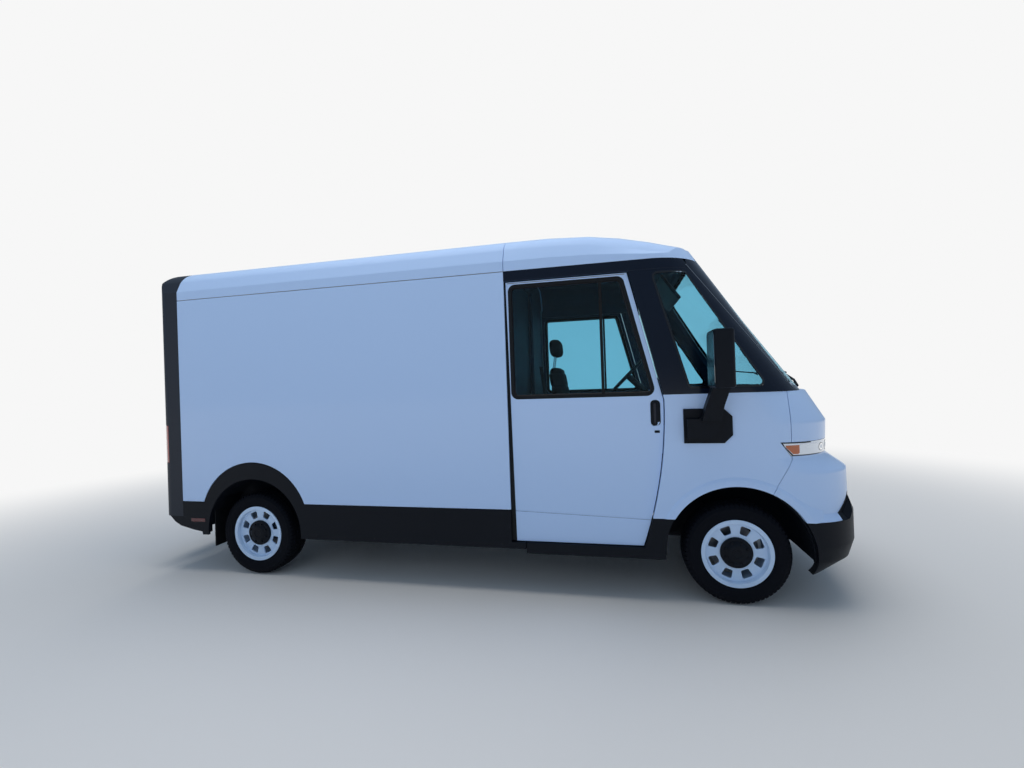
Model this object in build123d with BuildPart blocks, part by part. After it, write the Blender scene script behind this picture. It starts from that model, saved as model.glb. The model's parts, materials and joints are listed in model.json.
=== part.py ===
from build123d import *
from math import asin, cos, pi, radians, sin, sqrt
import os

os.makedirs("parts", exist_ok=True)

# Electric walk-in delivery van at full size, in millimetres.
# Frame: +X forward, +Y left, +Z up, origin on the ground under the middle of the van.
# Right-hand pieces are drawn and the left-hand ones are their mirror images.

# Whole vehicle
WHEELBASE = 3886
FRONT_AXLE_X = 2066
REAR_AXLE_X = FRONT_AXLE_X - WHEELBASE
HALF_WIDTH = 1030
CROWN_Z = 2745
FRONT_X = 3004
REAR_X = -2785
REAR_FRAME_LENGTH = 228

# Clearances
PANEL_GAP = 4
SEAT_GAP = 0.3
RUN_GAP = 6

# Side walls: outer skin, pocket for the sliding door, inner lining
SKIN = 18
POCKET_SKIN_GAP = 6
DOOR_THICKNESS = 52
LINING = 12
SKIN_IN_Y = HALF_WIDTH - SKIN
DOOR_OUT_Y = SKIN_IN_Y - POCKET_SKIN_GAP
DOOR_IN_Y = DOOR_OUT_Y - DOOR_THICKNESS
LINING_OUT_Y = DOOR_IN_Y - RUN_GAP
LINING_IN_Y = LINING_OUT_Y - LINING

# Cargo body
PANEL_REAR_X = REAR_X + REAR_FRAME_LENGTH
PANEL_FRONT_X = 476
WAIST_Z = 636
SILL_Z = 342
EAVE_Z = 2446
POCKET_REAR_X = -520
ROOF_THICKNESS = 45

# Roof section, half of it: eave crease, shoulder crease and the edge of the crown
CREASE_Z = 2522
SHOULDER_LEAN = 40
SHOULDER_Y = HALF_WIDTH - SHOULDER_LEAN
SHOULDER_Z = 2612
SHOULDER_BULGE = 18
CROWN_EDGE_LEAN = 190
CROWN_EDGE_Y = HALF_WIDTH - CROWN_EDGE_LEAN
CROWN_EDGE_Z = 2722

# Fall of the cab roof, columns: X, fall of the crease, shoulder, crown's edge, crown
CAP_STATIONS = (
    (PANEL_FRONT_X, 0, 0, 0, 0),
    (800, 1, 2, 2, 0),
    (1118, 9, 17, 20, 3),
    (1350, 24, 58, 56, 9),
    (1560, 42, 104, 106, 22),
    (1760, 64, 138, 168, 46),
    (1980, 92, 168, 262, 110),
    (2400, 110, 190, 340, 150),
    (FRONT_X, 130, 210, 420, 190),
)
CAP_OVERLAP = 40

# Brow of the cab roof: side view of the arc that ends it above the windscreen
BROW_START_X = 1640
BROW_RISE = 30
BROW_X = 1880
BROW_Z = 2665
BROW_FRONT_X = 1964
BROW_FRONT_Z = 2560

# Cab plan: bowed front with round corners
BOW_RADIUS = 2427
CORNER_RADIUS = 405
NOSE_CORNER = 500
CAB_REACH = 2600
CAB_WALL = 45
BELT_Z = 1476
GLASS = 8

# Front end, columns: height, foremost X on the centre line
FASCIA_Z = 600
LEDGE_TOP_Z = 676
SCREEN_SECTIONS = ((BELT_Z, 2696), (1988, 2337), (2568, 1958), (2760, 1850))
NOSE_SECTIONS = ((FASCIA_Z, 2962), (740, 2979), (925, 2977), (1022, 2847), (1262, 2857), (BELT_Z, 2732))
LEDGE_SECTIONS = ((FASCIA_Z, 2990), (LEDGE_TOP_Z, 2880))
BUMPER_SECTIONS = ((228, 2810), (334, 2968), (440, FRONT_X), (640, FRONT_X), (747, 2966))

# Front wheel arch
ARCH_X = 2072
ARCH_Z = 352
ARCH_RADIUS = 483
FLARE_RADIUS = 528
FLARE_STAND = 10
FLARE_SLOPE = 1.73
FLARE_ROOT = 60
FLARE_FRONT_X = 2600
NOSE_SEAM_X = 2418
SEAM_BEND_Z = 1016
SEAM_FOOT_X = 2261
SEAM_FOOT_Z = 740

# Sliding side door: rear edge inside the pocket, then the outline of its front edge
DOOR_REAR_X = 462
DOOR_LOW_Z = 396
DOOR_TOP_Z = 2364
DOOR_FRONT_TOP_X = 1386
DOOR_FRONT_BELT_X = 1609
DOOR_FRONT_BELT_Z = 1440
DOOR_FRONT_MID_X = 1592
DOOR_FRONT_MID_Z = 1080
DOOR_FRONT_LOW_X = 1442
DOOR_CREASE_REAR_Z = 624
DOOR_CREASE_FRONT_Z = 578
DOOR_CREASE_WIDTH = 6
DOOR_CREASE_DEPTH = 3

# Door window
WINDOW_REAR_X = 504
WINDOW_LOW_Z = 1470
WINDOW_TOP_Z = 2344
WINDOW_TOP_FRONT_X = 1356
WINDOW_LOW_FRONT_X = 1566
WINDOW_CORNER = 55

# Windscreen opening: its corners' distances in from the side of the van
SCREEN_LOW_Z = BELT_Z + PANEL_GAP
SCREEN_LOW_INSET = 115
SCREEN_LOW_Y = HALF_WIDTH - SCREEN_LOW_INSET
SCREEN_TOP_Z = 2585
SCREEN_TOP_INSET = 208
SCREEN_TOP_Y = HALF_WIDTH - SCREEN_TOP_INSET

# Quarter window, side view
QUARTER_TOP_REAR = (1545, 2352)
QUARTER_TOP_FRONT = (1790, 2352)
QUARTER_LOW_FRONT = (2300, 1512)
QUARTER_LOW_REAR = (1778, 1512)

# Floors and chassis
SILL_REACH_X = 584
FLOOR_Z = 700
FLOOR_THICKNESS = 60
RAIL_LOW_Z = 500
RAIL_WIDTH = 80
RAIL_TOP_Z = FLOOR_Z - FLOOR_THICKNESS
STEP_WIDTH = 330
STEP_IN_Y = HALF_WIDTH - STEP_WIDTH
STEP_REAR_X = SILL_REACH_X + PANEL_GAP
CAB_INNER_Y = HALF_WIDTH - CAB_WALL
TREAD_Z = 390

# Battery
BATTERY_REAR_X = -1180
BATTERY_FRONT_X = 1300
BATTERY_LOW_Z = 240
BATTERY_SIDE_GAP = 20
BATTERY_HALF_WIDTH = STEP_IN_Y - RAIL_WIDTH - BATTERY_SIDE_GAP

# Wheels
TYRE_RADIUS = 356
TYRE_WIDTH = 224
RIM_RADIUS = 220
RIM_FLANGE_RADIUS = 236
RIM_WIDTH = 190
WHEEL_INSET = 148
WHEEL_Y = HALF_WIDTH - WHEEL_INSET
HUB_CAP_RADIUS = 104
HAND_HOLES = 8
KINGPIN_OFFSET = 92
KINGPIN_Y = WHEEL_Y - KINGPIN_OFFSET
SPINDLE_RADIUS = 30

# Wheel housings
HOUSING = 10
FRONT_HOUSING_RADIUS = ARCH_RADIUS - HOUSING
FRONT_HOUSING_REACH = 330
FRONT_HOUSING_IN_Y = WHEEL_Y - FRONT_HOUSING_REACH
REAR_HOUSING_RADIUS = 468
REAR_HOUSING_REACH = 150
REAR_HOUSING_IN_Y = WHEEL_Y - REAR_HOUSING_REACH
REAR_ARCH_Z = 372
SURROUND_RADIUS = 545
SURROUND_Z = 442

# Cant rail and door tongue
TONGUE_Y = (DOOR_OUT_Y + DOOR_IN_Y) / 2
TONGUE_WIDTH = 12
TONGUE_DEPTH = 8
CANT_LOW_Z = DOOR_TOP_Z + RUN_GAP
CANT_FRONT_X = 1800
ROOF_SEAM_X = 480

# Sill panel
SILL_TAIL_Z = 500
SILL_TAIL_STEP = 45
REAR_SILL_X = -1290

# Windscreen and quarter window corners
SCREEN_SIDE_Z = 2466
SCREEN_CORNER = 70
PILLAR_FOOT_INSET = 230
PILLAR_FOOT_Y = HALF_WIDTH - PILLAR_FOOT_INSET
QUARTER_CORNER = 40

# Headlamp, side view
LAMP_REAR_X = 2348
LAMP_RAKE = 64
LAMP_LOW_Z = 1040
LAMP_TOP_Z = 1132
LAMP_REACH = 470
LAMP_IN_Y = HALF_WIDTH - LAMP_REACH
LAMP_GAP = 2

# Rear frame, doors and hinges
REAR_FRAME_LOW_Z = 500
REAR_CORNER = 105
REAR_TOP_FALL = 190
REAR_TOP_DEPTH = 120
REAR_TOP_BULGE = 0.35
REAR_POST_WIDTH = 140
DOORWAY_Y = HALF_WIDTH - REAR_POST_WIDTH
DOORWAY_LOW_Z = 694
DOORWAY_TOP_Z = 2446
DOOR_STOP = 24
REAR_DOOR_THICKNESS = 50
REAR_DOOR_REBATE = REAR_DOOR_THICKNESS + RUN_GAP
REAR_WINDOW_Y = (DOORWAY_Y - SKIN) / 2
REAR_WINDOW_Z = 1830
REAR_WINDOW_WIDTH = 520
REAR_WINDOW_HEIGHT = 640
REAR_WINDOW_CORNER = 60
HINGE_STAND = 12
HINGE_X = REAR_X - HINGE_STAND
HINGE_SIDE_GAP = 10
HINGE_Y = DOORWAY_Y + HINGE_SIDE_GAP
HINGE_HEIGHTS = (900, 1570, 2240)
HINGE_LENGTH = 120
HINGE_RADIUS = 11
HINGE_PIN_RADIUS = 6
HINGE_LEAF = 26
HINGE_END_GAP = 2
TAIL_LAMP_WIDTH = 90
TAIL_LAMP_IN_Y = HALF_WIDTH - TAIL_LAMP_WIDTH
TAIL_LAMP_LOW_Z = 980
TAIL_LAMP_TOP_Z = 1320
TAIL_LAMP_DEPTH = 90

# Number-plate screw holes under the rear doors
PLATE_SPACING = 178
PLATE_Z = 600
PLATE_HOLE_RADIUS = 3.5
PLATE_HOLE_DEPTH = 20

# Rear step
REAR_STEP_Z = 500
REAR_STEP_THICKNESS = 45
REAR_STEP_INSET = 270
REAR_STEP_Y = HALF_WIDTH - REAR_STEP_INSET
REAR_STEP_STAND = 35
REAR_STEP_DEPTH = 184
REAR_STEP_FRONT_X = REAR_X - REAR_STEP_STAND
REAR_STEP_X = REAR_STEP_FRONT_X - REAR_STEP_DEPTH
STEP_CORNER = 60
STEP_BRACKET = 120

# Chassis: a ladder frame, narrow over the axles and wide beside the battery
RAIL_HOUSING_GAP = 42
RAIL_NARROW_Y = FRONT_HOUSING_IN_Y - RAIL_WIDTH / 2 - RAIL_HOUSING_GAP
RAIL_WIDE_Y = BATTERY_HALF_WIDTH + RAIL_WIDTH / 2
CROSS_WIDTH = 36
CROSS_DROP = 20
RAIL_END_X = 2620
RAIL_KICK = 240
BATTERY_BAY = (BATTERY_REAR_X - CROSS_WIDTH, BATTERY_FRONT_X + CROSS_WIDTH)

# Right-hand rail in plan, columns: X, distance of its centre line from the middle
RAIL_PATH = (
    (PANEL_REAR_X, RAIL_NARROW_Y),
    (BATTERY_BAY[0] - RAIL_KICK, RAIL_NARROW_Y),
    (BATTERY_BAY[0], RAIL_WIDE_Y),
    (BATTERY_BAY[1], RAIL_WIDE_Y),
    (BATTERY_BAY[1] + RAIL_KICK, RAIL_NARROW_Y),
    (RAIL_END_X, RAIL_NARROW_Y),
)

# Cross members, columns: rear face X, distance of the rail's centre line there
CROSS_MEMBERS = (
    (PANEL_REAR_X + 20, RAIL_NARROW_Y),
    (REAR_AXLE_X - 480, RAIL_NARROW_Y),
    (BATTERY_BAY[0], RAIL_WIDE_Y),
    (BATTERY_FRONT_X, RAIL_WIDE_Y),
    (FRONT_AXLE_X - 330, RAIL_NARROW_Y),
    (RAIL_END_X - CROSS_WIDTH, RAIL_NARROW_Y),
)

# Cab interior
BULKHEAD_X = 430
BULKHEAD_THICKNESS = 36
BULKHEAD_DOOR_HALF = 330
BULKHEAD_DOOR_TOP_Z = 2560
BULKHEAD_DOOR_THICKNESS = 30
BULKHEAD_DOOR_LAP = 30
SEAT_STEP_GAP = 270
SEAT_Y = STEP_IN_Y - SEAT_STEP_GAP
SEAT_X = 950
DASH_REAR_X = 1700
DASH_TOP_Z = 1440
DASH_LOW_Z = 1120
HOOD_HALF_WIDTH = 170
HOOD_REAR_X = 1725
HOOD_FRONT_X = 1950
HOOD_TOP_Z = 1620
HOOD_FACE_Z = 1590
HOOD_LEAN = 25
STEERING_X = 1420
STEERING_Z = 1640
STEERING_RADIUS = 205
STEERING_TILT = 45

# Mirrors
MIRROR_HEAD_X = (1880, 2004)
MIRROR_HEAD_Z = (1518, 1888)
MIRROR_HEAD_STAND = 120
MIRROR_HEAD_WIDTH = 226
MIRROR_HEAD_CORNER = 28
MIRROR_HEAD_ROUND = 14
MIRROR_BASE_X = (1735, 2050)
MIRROR_BASE_Z = (1134, 1373)
MIRROR_BASE_THICKNESS = 16
MIRROR_BASE_CHAMFER = 55
MIRROR_FOOT_THICKNESS = 44

# Raised foot of the mirror arm on its base plate, side view
MIRROR_FOOT = (
    (1752, 1165),
    (1915, 1165),
    (1955, 1225),
    (1985, 1330),
    (1850, 1330),
    (1835, 1305),
    (1752, 1305),
)

# Mirror arm, columns: height, centre X, centre distance from the side, width, depth
MIRROR_ARM = (
    (1290, 1905, 50, 122, 68),
    (1400, 1922, 90, 114, 76),
    (1540, 1950, 185, 108, 84),
)

# Side door details
HANDLE_X = (1521, 1566)
HANDLE_Z = (1256, 1436)
HANDLE_DEPTH = 20
HANDLE_MARGIN = 3
HANDLE_CORNER = 18
DOOR_SEAL_TOP_X = 488
DOOR_SEAL_LOW_X = 512
SEAL_DEPTH = 8
WINDOW_RUBBER = 26
DIVIDER_X = 1182
DIVIDER_WIDTH = 22

# Bumper and grille
BUMPER_WALL = 60
BUMPER_LIP_IN = 240
BUMPER_LIP_OUT = 132
BUMPER_LIP_TOP_Z = 700
GRILLE_Y = 520
GRILLE_LOW_Z = 350
GRILLE_TOP_Z = 520
GRILLE_BARS = 5
GRILLE_BAR = 12
GRILLE_FRAME = 14
GRILLE_INSET = 14

# Cowl and firewall
COWL_THICKNESS = 24
FIREWALL_X = 2480

# Door step and the black foot in front of it
STEP_LOW_Z = 310
FOOT_ARCH_X = 400

# Mud flap
FLAP_OFFSET = 442
FLAP_X = REAR_AXLE_X - FLAP_OFFSET
FLAP_THICKNESS = 10
FLAP_INSET = 40
FLAP_OUT_Y = HALF_WIDTH - FLAP_INSET
FLAP_REACH = 112
FLAP_IN_Y = WHEEL_Y - FLAP_REACH
FLAP_LOW_Z = 230
FLAP_TOP_Z = 560

# Wheel housings, columns: centre X, centre Z, inner radius + wall, inner Y, outer Y, lowest Z
FRONT_HOUSING = (
    ARCH_X,
    ARCH_Z,
    FRONT_HOUSING_RADIUS + HOUSING,
    FRONT_HOUSING_IN_Y,
    HALF_WIDTH - CAB_WALL,
    330,
)
REAR_HOUSING = (REAR_AXLE_X, REAR_ARCH_Z, REAR_HOUSING_RADIUS + HOUSING, REAR_HOUSING_IN_Y, SKIN_IN_Y, 420)
HOUSINGS = (FRONT_HOUSING, REAR_HOUSING)

# Bulkhead door runner
BULKHEAD_TONGUE_X = BULKHEAD_X - RUN_GAP - BULKHEAD_DOOR_THICKNESS / 2

# Seat and steering
PEDESTAL_LENGTH = 360
PEDESTAL_WIDTH = 340
SEAT_WIDTH = 490
SEAT_CUSHION_Z = 1080
CUSHION_REAR_X = SEAT_X - 230
CUSHION_LENGTH = 520
CUSHION_THICKNESS = 120
BACK_THICKNESS = 150
SEAT_RAKE = 110
SEAT_BACK_Z = 1790
HEADREST_THICKNESS = 110
HEADREST_WIDTH = 250
HEADREST_HEIGHT = 200
HEADREST_GAP = 62
HEADREST_POST_RADIUS = 8
HEADREST_POST_SPACING = 130
STEERING_GRIP = 15
COLUMN_RADIUS = 32
COLUMN_LENGTH = 480

# Wheel details
HUB_FACE_OFFSET = 48
HUB_FACE_Y = WHEEL_Y + HUB_FACE_OFFSET
HUB_IN_OFFSET = 32
HUB_IN_Y = WHEEL_Y - HUB_IN_OFFSET
HUB_RADIUS = 75
DISC_OFFSET = 56
DISC_Y = WHEEL_Y + DISC_OFFSET
DISC_THICKNESS = 12
HUB_CAP_STAND = 14
RIM_WALL = 12
RIM_LIP = 8
HOLE_RING_RADIUS = 158
HOLE_DEPTH = 58
HOLE_IN_WIDTH = 50
HOLE_OUT_WIDTH = 74
HOLE_ROUND = 12
HOLE_START = 22.5
TYRE_SHOULDER = 18
TYRE_CROWN = 10

# Axles
HUB_CLEAR = 10
SPINDLE_END_Y = HUB_FACE_Y - 20
SUBFRAME_REACH = 220
LEAF_REACH = 550
LEAF_WIDTH = 66
LEAF_Z = 416
LEAF_THICKNESS = 24
AXLE_TUBE_RADIUS = 45
DRIVE_UNIT_RADIUS = 130
DRIVE_UNIT_HALF_WIDTH = 210
KNUCKLE_RADIUS = 34
ARM_LOW_Z = 250
ARM_TOP_Z = 520
ARM_THICKNESS = 26
ARM_SLOT = 60


def save_pair(shape, name):
    """Writes a right-hand piece and its mirror image as two nodes."""
    shape.label = name + "_right"
    export_step(shape, f"parts/{name}_right.step")
    other = mirror(shape, about=Plane.XZ)
    other.label = name + "_left"
    export_step(other, f"parts/{name}_left.step")


def block(x, y, z, mode=Mode.ADD):
    """Adds or cuts a box given by its low and high corner along each axis."""
    with Locations(((x[0] + x[1]) / 2, (y[0] + y[1]) / 2, (z[0] + z[1]) / 2)):
        Box(x[1] - x[0], y[1] - y[0], z[1] - z[0], mode=mode)


def side_plane(distance):
    """Upright plane at a distance to the right, where extrusions go further right."""
    return Plane.XZ.offset(distance)


def plan_outline(height, nose_x, inset, corner_radius):
    """Horizontal section of the front end: bowed front, round corners, flat sides."""
    bow = BOW_RADIUS - inset
    corner = corner_radius - inset
    side = HALF_WIDTH - inset
    front = nose_x - inset
    bow_x = front - bow
    corner_y = side - corner
    corner_x = bow_x + sqrt((bow - corner) ** 2 - corner_y**2)
    swing = asin(corner_y / (bow - corner))
    join = (bow_x + bow * cos(swing), bow * sin(swing))
    half_turn = (swing + pi / 2) / 2
    round_mid = (corner_x + corner * cos(half_turn), corner_y + corner * sin(half_turn))
    with BuildSketch(Plane.XY.offset(height)) as outline:
        with BuildLine():
            Line((front - CAB_REACH, -side), (corner_x, -side))
            ThreePointArc((corner_x, -side), (round_mid[0], -round_mid[1]), (join[0], -join[1]))
            ThreePointArc((join[0], -join[1]), (front, 0), join)
            ThreePointArc(join, round_mid, (corner_x, side))
            Polyline((corner_x, side), (front - CAB_REACH, side), (front - CAB_REACH, -side))
        make_face()
    return outline.sketch


def front_body(sections, inset, corner_radius=CORNER_RADIUS):
    """Solid front end through a table of heights and foremost points: one slanted slice for each step."""
    with BuildPart() as body:
        for (low_z, low_x), (high_z, high_x) in zip(sections, sections[1:]):
            rise = high_z - low_z
            lean = high_x - low_x
            base = plan_outline(low_z, low_x, inset, corner_radius)
            extrude(base, amount=sqrt(rise**2 + lean**2), dir=(lean, 0, rise))
        split(bisect_by=Plane.YZ.offset(PANEL_FRONT_X), keep=Keep.TOP)
    return body.part


def roof_section(place_x, inset, low_z=WAIST_Z, fall=(0, 0, 0, 0), overlap=0):
    """Upright cross-section of the upper body: sides, crease, leaning shoulder, arched crown."""
    crease_fall, shoulder_fall, edge_fall, crown_fall = fall
    side = HALF_WIDTH - inset
    crease_z = CREASE_Z - crease_fall - inset / 2
    shoulder = (SHOULDER_Y - inset, SHOULDER_Z - shoulder_fall - inset / 2)
    eave = (side + overlap, crease_z - overlap * (shoulder[1] - crease_z) / SHOULDER_LEAN)
    crown_edge = (CROWN_EDGE_Y - inset / 2, CROWN_EDGE_Z - edge_fall - inset)
    crown_z = CROWN_Z - crown_fall - inset
    shoulder_mid = (
        (shoulder[0] + crown_edge[0]) / 2 + SHOULDER_BULGE * 0.59,
        (shoulder[1] + crown_edge[1]) / 2 + SHOULDER_BULGE * 0.81,
    )
    with BuildSketch(Plane.YZ.offset(place_x)) as section:
        with BuildLine():
            Polyline((0, low_z), (eave[0], low_z), eave, shoulder)
            ThreePointArc(shoulder, shoulder_mid, crown_edge)
            ThreePointArc(
                crown_edge,
                (crown_edge[0] / 2, (crown_edge[1] + 3 * crown_z) / 4),
                (0, crown_z),
            )
            mirror(about=Plane.YZ)
        make_face()
    return section.sketch


def brow_profile(inset):
    """Side view that rounds the front of the cab roof into the top of the windscreen."""
    start = (BROW_START_X, CROWN_Z + BROW_RISE - inset)
    front = (BROW_FRONT_X - inset, BROW_FRONT_Z)
    with BuildSketch(Plane.XZ) as profile:
        with BuildLine():
            Polyline(
                front,
                (FRONT_X, BROW_FRONT_Z),
                (FRONT_X, 0),
                (PANEL_FRONT_X, 0),
                (PANEL_FRONT_X, start[1]),
                start,
            )
            ThreePointArc(start, (BROW_X - inset / 2, BROW_Z - inset), front)
        make_face()
    return profile.sketch


def upper_cab(inset):
    """Solid upper cab: windscreen rake, falling roof and brow together."""
    sections = [
        roof_section(place_x, inset, WAIST_Z, fall, CAP_OVERLAP).face() for place_x, *fall in CAP_STATIONS
    ]
    with BuildPart() as cab:
        loft(sections, ruled=True)
        add(front_body(SCREEN_SECTIONS, inset), mode=Mode.INTERSECT)
        extrude(brow_profile(inset), amount=HALF_WIDTH, both=True, mode=Mode.INTERSECT)
    return cab.part


upper_outer = upper_cab(0)
upper_inner = upper_cab(CAB_WALL)
upper_glass = upper_cab(GLASS)
nose_inner = front_body(NOSE_SECTIONS, CAB_WALL, NOSE_CORNER)


def door_outline(distance, grow):
    """Side view of the sliding door: straight rear edge, front edge raked above the belt, curved below."""
    top = (DOOR_FRONT_TOP_X + grow, DOOR_TOP_Z + grow)
    belt = (DOOR_FRONT_BELT_X + grow, DOOR_FRONT_BELT_Z)
    low = (DOOR_FRONT_LOW_X + grow, DOOR_LOW_Z - grow)
    with BuildSketch(side_plane(distance)) as outline:
        with BuildLine():
            Polyline(low, (DOOR_REAR_X, low[1]), (DOOR_REAR_X, top[1]), top, belt)
            ThreePointArc(belt, (DOOR_FRONT_MID_X + grow, DOOR_FRONT_MID_Z), low)
        make_face()
    return outline.sketch


def window_outline(distance, inset):
    """Side view of the door window, with round corners."""
    with BuildSketch(side_plane(distance)) as outline:
        with BuildLine():
            Polyline(
                (WINDOW_REAR_X + inset, WINDOW_LOW_Z + inset),
                (WINDOW_LOW_FRONT_X - inset, WINDOW_LOW_Z + inset),
                (WINDOW_TOP_FRONT_X - inset, WINDOW_TOP_Z - inset),
                (WINDOW_REAR_X + inset, WINDOW_TOP_Z - inset),
                close=True,
            )
        make_face()
        fillet(outline.vertices(), WINDOW_CORNER - inset)
    return outline.sketch


def screen_outline(inset):
    """Front view of the windscreen: straight base, raked sides, arched top."""
    low_y = SCREEN_LOW_Y - inset
    top_y = SCREEN_TOP_Y - inset
    with BuildSketch(Plane.YZ.offset(BROW_START_X)) as outline:
        with BuildLine():
            Polyline(
                (top_y, SCREEN_SIDE_Z - inset),
                (low_y, SCREEN_LOW_Z + inset),
                (-low_y, SCREEN_LOW_Z + inset),
                (-top_y, SCREEN_SIDE_Z - inset),
            )
            ThreePointArc(
                (-top_y, SCREEN_SIDE_Z - inset),
                (0, SCREEN_TOP_Z - inset),
                (top_y, SCREEN_SIDE_Z - inset),
            )
        make_face()
        fillet(outline.vertices(), SCREEN_CORNER - inset)
    return outline.sketch


def quarter_outline(distance, inset):
    """Side view of the fixed quarter window between the door and the screen pillar."""
    with BuildSketch(side_plane(distance)) as outline:
        with BuildLine():
            Polyline(QUARTER_TOP_REAR, QUARTER_TOP_FRONT, QUARTER_LOW_FRONT, QUARTER_LOW_REAR, close=True)
        make_face()
        offset(amount=-inset, kind=Kind.INTERSECTION)
        fillet(outline.vertices(), QUARTER_CORNER - inset)
    return outline.sketch


def lamp_outline(distance, grow):
    """Side view of the wrap-round headlamp, pointed towards the rear."""
    with BuildSketch(side_plane(distance)) as outline:
        with BuildLine():
            Polyline(
                (LAMP_REAR_X - grow, LAMP_TOP_Z + grow),
                (FRONT_X, LAMP_TOP_Z + grow),
                (FRONT_X, LAMP_LOW_Z - grow),
                (LAMP_REAR_X + LAMP_RAKE - grow, LAMP_LOW_Z - grow),
                close=True,
            )
        make_face()
    return outline.sketch


def circle_at(distance, centre_x, centre_z, radius):
    """Round outline in an upright plane to the right."""
    with BuildSketch(side_plane(distance)) as outline:
        with Locations((centre_x, centre_z)):
            Circle(radius)
    return outline.sketch


def nose_region(shift):
    """Space ahead of the nose seam: upright down to the lamp, then running back to the wheel arch."""
    with BuildPart() as region:
        with BuildSketch(Plane.XZ):
            with BuildLine():
                Polyline(
                    (NOSE_SEAM_X + shift, EAVE_Z),
                    (NOSE_SEAM_X + shift, SEAM_BEND_Z),
                    (SEAM_FOOT_X + shift, SEAM_FOOT_Z),
                    (SEAM_FOOT_X + shift, 0),
                    (2 * FRONT_X, 0),
                    (2 * FRONT_X, EAVE_Z),
                    close=True,
                )
            make_face()
        extrude(amount=2 * HALF_WIDTH, both=True)
    return region.part


# Outer shape of the nose and the fenders: corners, ledge over the bumper, and the flared front arches
with BuildPart() as nose_shape:
    add(front_body(NOSE_SECTIONS, 0, NOSE_CORNER))
    add(front_body(LEDGE_SECTIONS, 0))
    with BuildPart(mode=Mode.PRIVATE) as flare:
        loft(
            [
                circle_at(
                    HALF_WIDTH + FLARE_STAND - FLARE_ROOT,
                    ARCH_X,
                    ARCH_Z,
                    FLARE_RADIUS + FLARE_SLOPE * FLARE_ROOT,
                ).face(),
                circle_at(HALF_WIDTH + FLARE_STAND, ARCH_X, ARCH_Z, FLARE_RADIUS).face(),
            ]
        )
        split(bisect_by=Plane.XY.offset(FASCIA_Z), keep=Keep.TOP)
        split(bisect_by=Plane.YZ.offset(FLARE_FRONT_X), keep=Keep.BOTTOM)
        mirror(about=Plane.XZ)
    add(flare.part)
nose_outer = nose_shape.part

# Cargo sides: outer skins, with the bite for the rear arch surround
with BuildPart() as cargo_sides:
    block((PANEL_REAR_X, PANEL_FRONT_X), (-HALF_WIDTH, -SKIN_IN_Y), (WAIST_Z, EAVE_Z - PANEL_GAP))
    extrude(circle_at(SKIN_IN_Y, REAR_AXLE_X, SURROUND_Z, SURROUND_RADIUS), amount=SKIN, mode=Mode.SUBTRACT)
    mirror(about=Plane.XZ)
cargo_sides.part.label = "cargo_sides"
export_step(cargo_sides.part, "parts/cargo_sides.step")

# Cargo linings: thin beside the door pocket, and the full wall behind it
with BuildPart() as cargo_linings:
    block((POCKET_REAR_X, PANEL_FRONT_X), (-LINING_OUT_Y, -LINING_IN_Y), (TREAD_Z, EAVE_Z))
    block((PANEL_REAR_X, POCKET_REAR_X), (-SKIN_IN_Y, -LINING_IN_Y), (WAIST_Z, EAVE_Z))
    extrude(
        circle_at(LINING_IN_Y, REAR_AXLE_X, REAR_ARCH_Z, REAR_HOUSING_RADIUS + HOUSING),
        amount=SKIN_IN_Y - LINING_IN_Y,
        mode=Mode.SUBTRACT,
    )
    mirror(about=Plane.XZ)
cargo_linings.part.label = "cargo_linings"
export_step(cargo_linings.part, "parts/cargo_linings.step")

# Cant rails over the pocket and the door, each with its black band and the tongue that carries the door
with BuildPart() as cant_rails:
    block((POCKET_REAR_X, PANEL_FRONT_X), (-SKIN_IN_Y, -LINING_OUT_Y), (CANT_LOW_Z, EAVE_Z))
    with BuildPart(mode=Mode.PRIVATE) as band:
        add(upper_outer)
        block(
            (PANEL_FRONT_X, CANT_FRONT_X),
            (-HALF_WIDTH, -LINING_OUT_Y),
            (CANT_LOW_Z, EAVE_Z),
            mode=Mode.INTERSECT,
        )
    add(band.part)
    block(
        (POCKET_REAR_X, DOOR_FRONT_TOP_X - RUN_GAP),
        (-TONGUE_Y - TONGUE_WIDTH / 2, -TONGUE_Y + TONGUE_WIDTH / 2),
        (DOOR_TOP_Z - TONGUE_DEPTH, CANT_LOW_Z),
    )
    mirror(about=Plane.XZ)
cant_rails.part.label = "cant_rails"
export_step(cant_rails.part, "parts/cant_rails.step")

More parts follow.
